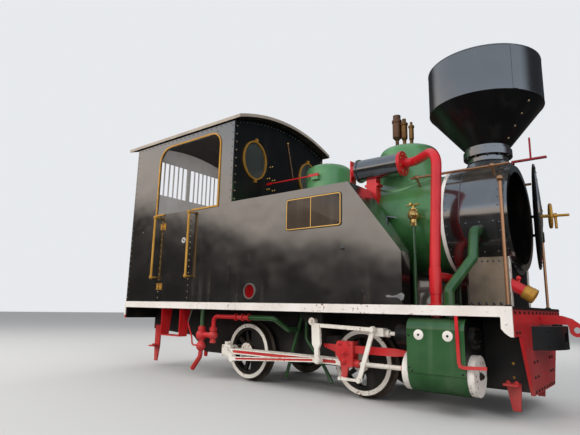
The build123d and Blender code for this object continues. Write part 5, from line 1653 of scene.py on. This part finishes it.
@dataclass
class GearDressing(Dressing):
    """Finishes and fittings of wheels, rods, crossheads and cylinders.

    Spots are X and Z. Those of the crosshead count X from its gudgeon pin, and those of the rod's end count
    both from the crank pin. A cheek nut is also its radius.
    """

    hub_end: float = 0.591
    hub_radius: float = 0.090
    rod_outer: float = 0.741
    flutes: tuple[float, ...] = (0.648, 0.736, 0.790)
    disc_x: Span = (1.649, 1.873)
    disc_z: float = 0.596
    strap_y: float = 0.886
    strap: tuple[Spot, ...] = ((1.955, 0.742), (1.962, 0.416), (1.968, 0.400), (1.985, 0.396), (2.140, 0.404))
    screws: tuple[Spot, ...] = ((1.568, 0.589), (1.568, 0.351), (1.590, 0.330), (1.972, 0.335))
    gland_x: float = 1.4968
    cap: Spot = (0.009, 0.399)
    cheek_nuts: tuple[tuple[float, ...], ...] = (
        (0.004, 0.330, 0.024), (0.044, 0.400, 0.010), (-0.035, 0.478, 0.015), (0.055, 0.474, 0.010),
        (0.042, 0.497, 0.010),
    )
    end_nuts: tuple[Spot, ...] = ((-0.052, 0.046), (-0.052, -0.046), (0.034, 0.078), (0.034, -0.066))
    weigh_shaft: Point = (0.605, 0.823, 0.660)
    bracket_nut: Spot = (0.611, 0.514)
    bracket_x: tuple[float, ...] = (0.51, 0.56, 0.61)
    bracket_z: float = 0.780
    gland_rise: float = 0.0646

    def __post_init__(self) -> None:
        """Reads the axles, cranks, gudgeon pins and cylinders from the frame."""
        low, high, pivot = self.packed.low, self.packed.high, self.packed.pivot
        self.axles = {name: pivot(f"{name}_axle_spin") for name in ("rear", "front")}
        self.axle_z = self.axles["rear"].z
        self.cranks = {side: pivot(f"coupling_rod_{side.word}_swing") for side in Side}
        self.gudgeons = {side: pivot(f"connecting_rod_{side.word}_swing") for side in Side}
        self.cylinder_y = self.gudgeons[Side.LEFT].y
        self.wheel_outer = high("rear_tyres").y
        self.guide_outer = high("motion_brackets").y
        self.casing_y = high("cylinders").y
        self.cover_x = high("cylinder_covers").x
        self.chest_x = (low("valve_chests").x, high("valve_chests").x)
        self.chest_z = (low("valve_chests").z + high("valve_chests").z) / 2

    def repaint(self, dresser: Dresser) -> None:
        """Paints tyres, hubs, flutes, crossheads, cylinder ends and the injectors' steel pipes."""
        def flute(place: Vector, out: Vector) -> bool:
            """Whether a face is the bottom of a flute."""
            return abs(out.y) > 0.99 and any(abs(abs(place.y) - y) < 0.0006 for y in self.flutes)

        def red_block(place: Vector, out: Vector) -> bool:
            """Whether a face belongs to the crosshead's block, not to its link or piston rod."""
            aside = math.hypot(abs(place.y) - self.cylinder_y, place.z - self.axle_z)
            rod = aside < 0.0215 and out.x * out.x < 0.5
            return abs(place.y) < self.guide_outer + 0.0005 and not rod

        def tyre_face(place: Vector, out: Vector) -> bool:
            """Whether a face is the outer side of a tyre."""
            return place.y * out.y > 0.1 and abs(out.y) > 0.9 and abs(place.y) > self.wheel_outer - 0.009

        for name, axle in self.axles.items():
            dresser.paint(f"{name}_tyres", TYRE_WHITE, tyre_face)
            dresser.paint(f"{name}_wheels", TYRE_WHITE, lambda place, out, axle=axle: (
                place.y * out.y > 0.1 and abs(abs(place.y) - self.hub_end) < 0.002
                and math.hypot(place.x - axle.x, place.z - axle.z) < self.hub_radius))
        for side in Side:
            dresser.paint(f"coupling_rod_{side.word}", RED, flute)
            dresser.paint(f"connecting_rod_{side.word}", RED, flute)
            dresser.paint(f"crosshead_{side.word}", RED, red_block)
        dresser.paint("valve_gear", RED, flute)
        dresser.paint("cylinders", FRAME_BLACK, lambda place, out: abs(out.x) > 0.9 or abs(place.y) < 0.56)
        dresser.paint("cylinder_covers", RED, lambda place, out: place.x < self.gland_x + 0.0001)
        dresser.paint("injectors", STEEL, lambda place, out: place.x < -1.02 and place.z > 0.60)

    def build(self, bench: Bench) -> None:
        """Adds everything on the running gear."""
        for side in Side:
            self._casing(bench, side)
            self._covers(bench, side)
            self._crosshead(bench, side)
            self._rods(bench, side)
        self._wheels(bench)

    def _casing(self, bench: Bench, side: Side) -> None:
        """Adds the white discs, the red strap and the screws of one cylinder's casing."""
        y = side.value * self.casing_y
        disc = ((0.039, 0.0), (0.039, 0.002), (0.035, 0.004), (0.0, 0.0045))
        dot = ((0.009, 0.004), (0.009, 0.007), (0.006, 0.009), (0.0, 0.0095))
        for x in self.disc_x:
            bench.work("casing_discs", WHITE).turned((x, y, self.disc_z), side.out, disc, 28)
            bench.work("casing_disc_screws", FRAME_BLACK).turned((x, y, self.disc_z), side.out, dot, 12)
        line = [(x, side.value * self.strap_y, z) for x, z in self.strap]
        bench.work("cylinder_strap", RED).band(line, Axis.Y.value, 0.010, 0.024)
        for x, z in self.screws:
            bench.work("casing_screws", FRAME_BLACK).rivet((x, y, z), side.out, 0.008)

    def _covers(self, bench: Bench, side: Side) -> None:
        """Adds the covers' nuts and beads and the gland's studs."""
        y = side.value * self.cylinder_y
        bench.work("cover_centre_nuts", FRAME_BLACK).nut((self.cover_x, y, self.axle_z), Axis.X.value, 0.024)
        rim = ((0.147, 0.0), (0.1485, 0.004), (0.147, 0.008), (0.144, 0.004))
        place = (self.cover_x - 0.011, y, self.axle_z)
        bench.work("cover_rims", WHITE).turned(place, Axis.X.value, rim, 48, True)
        chest = bench.work("chest_cover_nuts", FRAME_BLACK)
        rear, front = self.chest_x
        chest.ring((front, y, self.chest_z), Axis.X, 0.068, 8, 0.010, Head.NUT)
        chest.ring((rear, y, self.chest_z), Axis.X, 0.068, 8, 0.010, Head.NUT, back=True)
        for rise in (-self.gland_rise, self.gland_rise):
            bench.work("gland_nuts", STEEL).nut((self.gland_x, y, self.axle_z + rise), REARWARD, 0.010)

    def _crosshead(self, bench: Bench, side: Side) -> None:
        """Adds one crosshead's cap and nuts, low enough for the combination lever to pass over."""
        pin_x, y = self.gudgeons[side].x, side.value * self.guide_outer
        body = f"crosshead_{side.word}"
        red = bench.work(f"{body}_bolts", RED, body)
        x, z = pin_x + self.cap[0], self.cap[1]
        red.turned((x, y, z), side.out, ((0.030, 0.0), (0.030, 0.008), (0.0, 0.008)), 8)
        red.nut((x, y + side.value * 0.008, z), side.out, 0.016)
        for along, z, radius in self.cheek_nuts:
            red.nut((pin_x + along, y, z), side.out, radius)

    def _rods(self, bench: Bench, side: Side) -> None:
        """Adds the nuts of one side's connecting rod, expansion link and motion bracket."""
        rod, crank = f"connecting_rod_{side.word}", self.cranks[side]
        white = bench.work(f"{rod}_bolts", TYRE_WHITE, rod)
        for x, z in self.end_nuts:
            white.nut((crank.x + x, side.value * self.rod_outer, crank.z + z), side.out, 0.010)
        fixed = bench.work("motion_bolts", TYRE_WHITE)
        bracket_y = side.value * self.guide_outer
        x, z = self.bracket_nut
        fixed.nut((x, bracket_y, z), side.out, 0.016)
        x, y, z = self.weigh_shaft
        fixed.nut((x, side.value * y, z), side.out, 0.020)
        fixed.turned((x, side.value * y, z), side.out, ((0.034, 0.0), (0.034, 0.004), (0.0, 0.004)), 24)
        black = bench.work("motion_bracket_rivets", FRAME_BLACK)
        for x in self.bracket_x:
            black.rivet((x, bracket_y, self.bracket_z), side.out, 0.009)

    def _wheels(self, bench: Bench) -> None:
        """Adds the centre marks and rings of the wheel hubs."""
        mark = ((0.012, 0.0), (0.012, 0.002), (0.006, 0.0025), (0.0, 0.001))
        ring = ((0.063, 0.0), (0.063, 0.0015), (0.059, 0.0015), (0.059, 0.0))
        for name, axle in self.axles.items():
            for side in Side:
                place = (axle.x, side.value * self.hub_end, axle.z)
                body = f"{name}_axle"
                bench.work(f"{name}_hub_centres", FRAME_BLACK, body).turned(place, side.out, mark, 14)
                bench.work(f"{name}_hub_rings", TYRE_WHITE, body).turned(place, side.out, ring, 32, True)


@dataclass
class PipeDressing(Dressing):
    """Unions, collars and flanges of the pipes, and the feet and clamp of the corner rods.

    A union is its foot's height, its radius and its own height, and a ridge is its way along the cap and its
    radius.
    """

    pipe_y: float = 0.720
    steam_x: float = 1.735
    exhaust_x: float = 1.840
    clack: Spot = (1.490, 0.545)
    unions: tuple[tuple[float, ...], ...] = ((1.500, 0.030, 0.028), (1.622, 0.040, 0.024))
    injector_x: Span = (-0.945, -0.757)
    injector: Spot = (0.770, 0.545)
    nut_reach: float = 0.034
    drum_z: float = 0.905
    ridges: tuple[Spot, ...] = ((0.006, 0.0575), (0.058, 0.0575), (0.074, 0.0575), (0.0838, 0.044))
    corner: Spot = (2.263, 0.717)
    clamp_z: float = 1.455

    def __post_init__(self) -> None:
        """Reads the deck's height from the frame."""
        self.deck_z = self.packed.high("running_board").z

    def build(self, bench: Bench) -> None:
        """Adds everything on the pipes."""
        for sign in (-1, 1):
            self._flanges(bench, sign)
            self._unions(bench, sign)
        self._cap(bench)
        self._corner_rods(bench)

    def _flanges(self, bench: Bench, sign: int) -> None:
        """Adds one side's flanges on the deck, and the collar of the right side's steam pipe."""
        red = bench.work("steam_pipe_collars", RED)
        y, z = sign * self.pipe_y, self.deck_z + 0.0005
        if sign == Side.RIGHT.value:
            collar = ((0.0, 0.0), (0.042, 0.0), (0.0475, 0.003), (0.0475, 0.205), (0.042, 0.208),
                      (0.0, 0.208))
            red.turned((self.steam_x, y, self.drum_z), Axis.Z.value, collar, 28)
        flange = ((0.0, 0.0), (0.064, 0.0), (0.064, 0.010), (0.046, 0.014), (0.0, 0.014))
        red.turned((self.steam_x, y, z), Axis.Z.value, flange, 28)
        # The exhaust flanges in the darker green copy: painted shade.
        green = bench.work("exhaust_pipe_flanges", LOW_GREEN_PAINTED_SHADE)
        green.turned((self.exhaust_x, y, z), Axis.Z.value, flange, 28)

    def _unions(self, bench: Bench, sign: int) -> None:
        """Adds one side's unions on the feed valve and nuts on the injector's flanges."""
        brass = bench.work("clack_unions", BRASS)
        x, y = self.clack
        for z, radius, height in self.unions:
            union = ((0.0, 0.0), (radius, 0.0), (radius, height), (0.0, height))
            brass.turned((x, sign * y, z), Axis.Z.value, union, 6)
        nuts = bench.work("injector_flange_nuts", RED)
        y, z = self.injector
        for x in self.injector_x:
            for quarter in range(4):
                turn = math.pi / 4 + math.pi / 2 * quarter
                away_x, away_y = self.nut_reach * math.cos(turn), self.nut_reach * math.sin(turn)
                nuts.nut((x + away_x, sign * y + away_y, z), Axis.Z.value, 0.006)

    def _cap(self, bench: Bench) -> None:
        """Adds the ridges round the cleaning pipe's brass cap."""
        gold = bench.work("cleaning_pipe_ridges", GOLD)
        along = Vector(CAP_WAY).normalized()
        for step, reach in self.ridges:
            ring = ((reach, -0.004), (reach + 0.003, -0.002), (reach + 0.003, 0.002), (reach, 0.004),
                    (reach - 0.004, 0.004), (reach - 0.004, -0.004))
            gold.turned(Vector(CAP_FOOT) + step * along, along, ring, 40, True)

    def _corner_rods(self, bench: Bench) -> None:
        """Adds the clamp on the left corner rod and both rods' feet."""
        x, y = self.corner
        clamp = ((0.0, 0.0), (0.017, 0.0), (0.022, 0.010), (0.022, 0.095), (0.017, 0.105), (0.0, 0.105))
        bench.work("corner_rod_clamp", FRAME_BLACK).turned((x, y, self.clamp_z), Axis.Z.value, clamp, 16)
        foot = ((0.0, 0.0), (0.026, 0.0), (0.026, 0.008), (0.015, 0.014), (0.0, 0.014))
        feet = bench.work("corner_rod_feet", FRAME_BLACK)
        for sign in (-1, 1):
            feet.turned((x, sign * y, self.deck_z), Axis.Z.value, foot, 18)


DRESSINGS: tuple[type[Dressing], ...] = (
    CabDressing, TankDressing, BoilerDressing, DoorDressing, FrameDressing, GearDressing, PipeDressing,
)


def main() -> None:
    """Builds the studio and dresses the locomotive."""
    logging.basicConfig(level=logging.INFO, format="%(name)s: %(message)s")
    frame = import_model()
    PhotoCamera().build()
    Studio().build()
    effects = Effects()
    packed = Packed(frame)
    dresser = Dresser(packed.nodes, effects)
    dresser.dress_all()
    bench = Bench()
    dressings = [dressing(packed) for dressing in DRESSINGS]
    for dressing in dressings:
        dressing.repaint(dresser)
    for dressing in dressings:
        dressing.build(bench)
    bench.build(effects)


if __name__ == "__main__":
    main()
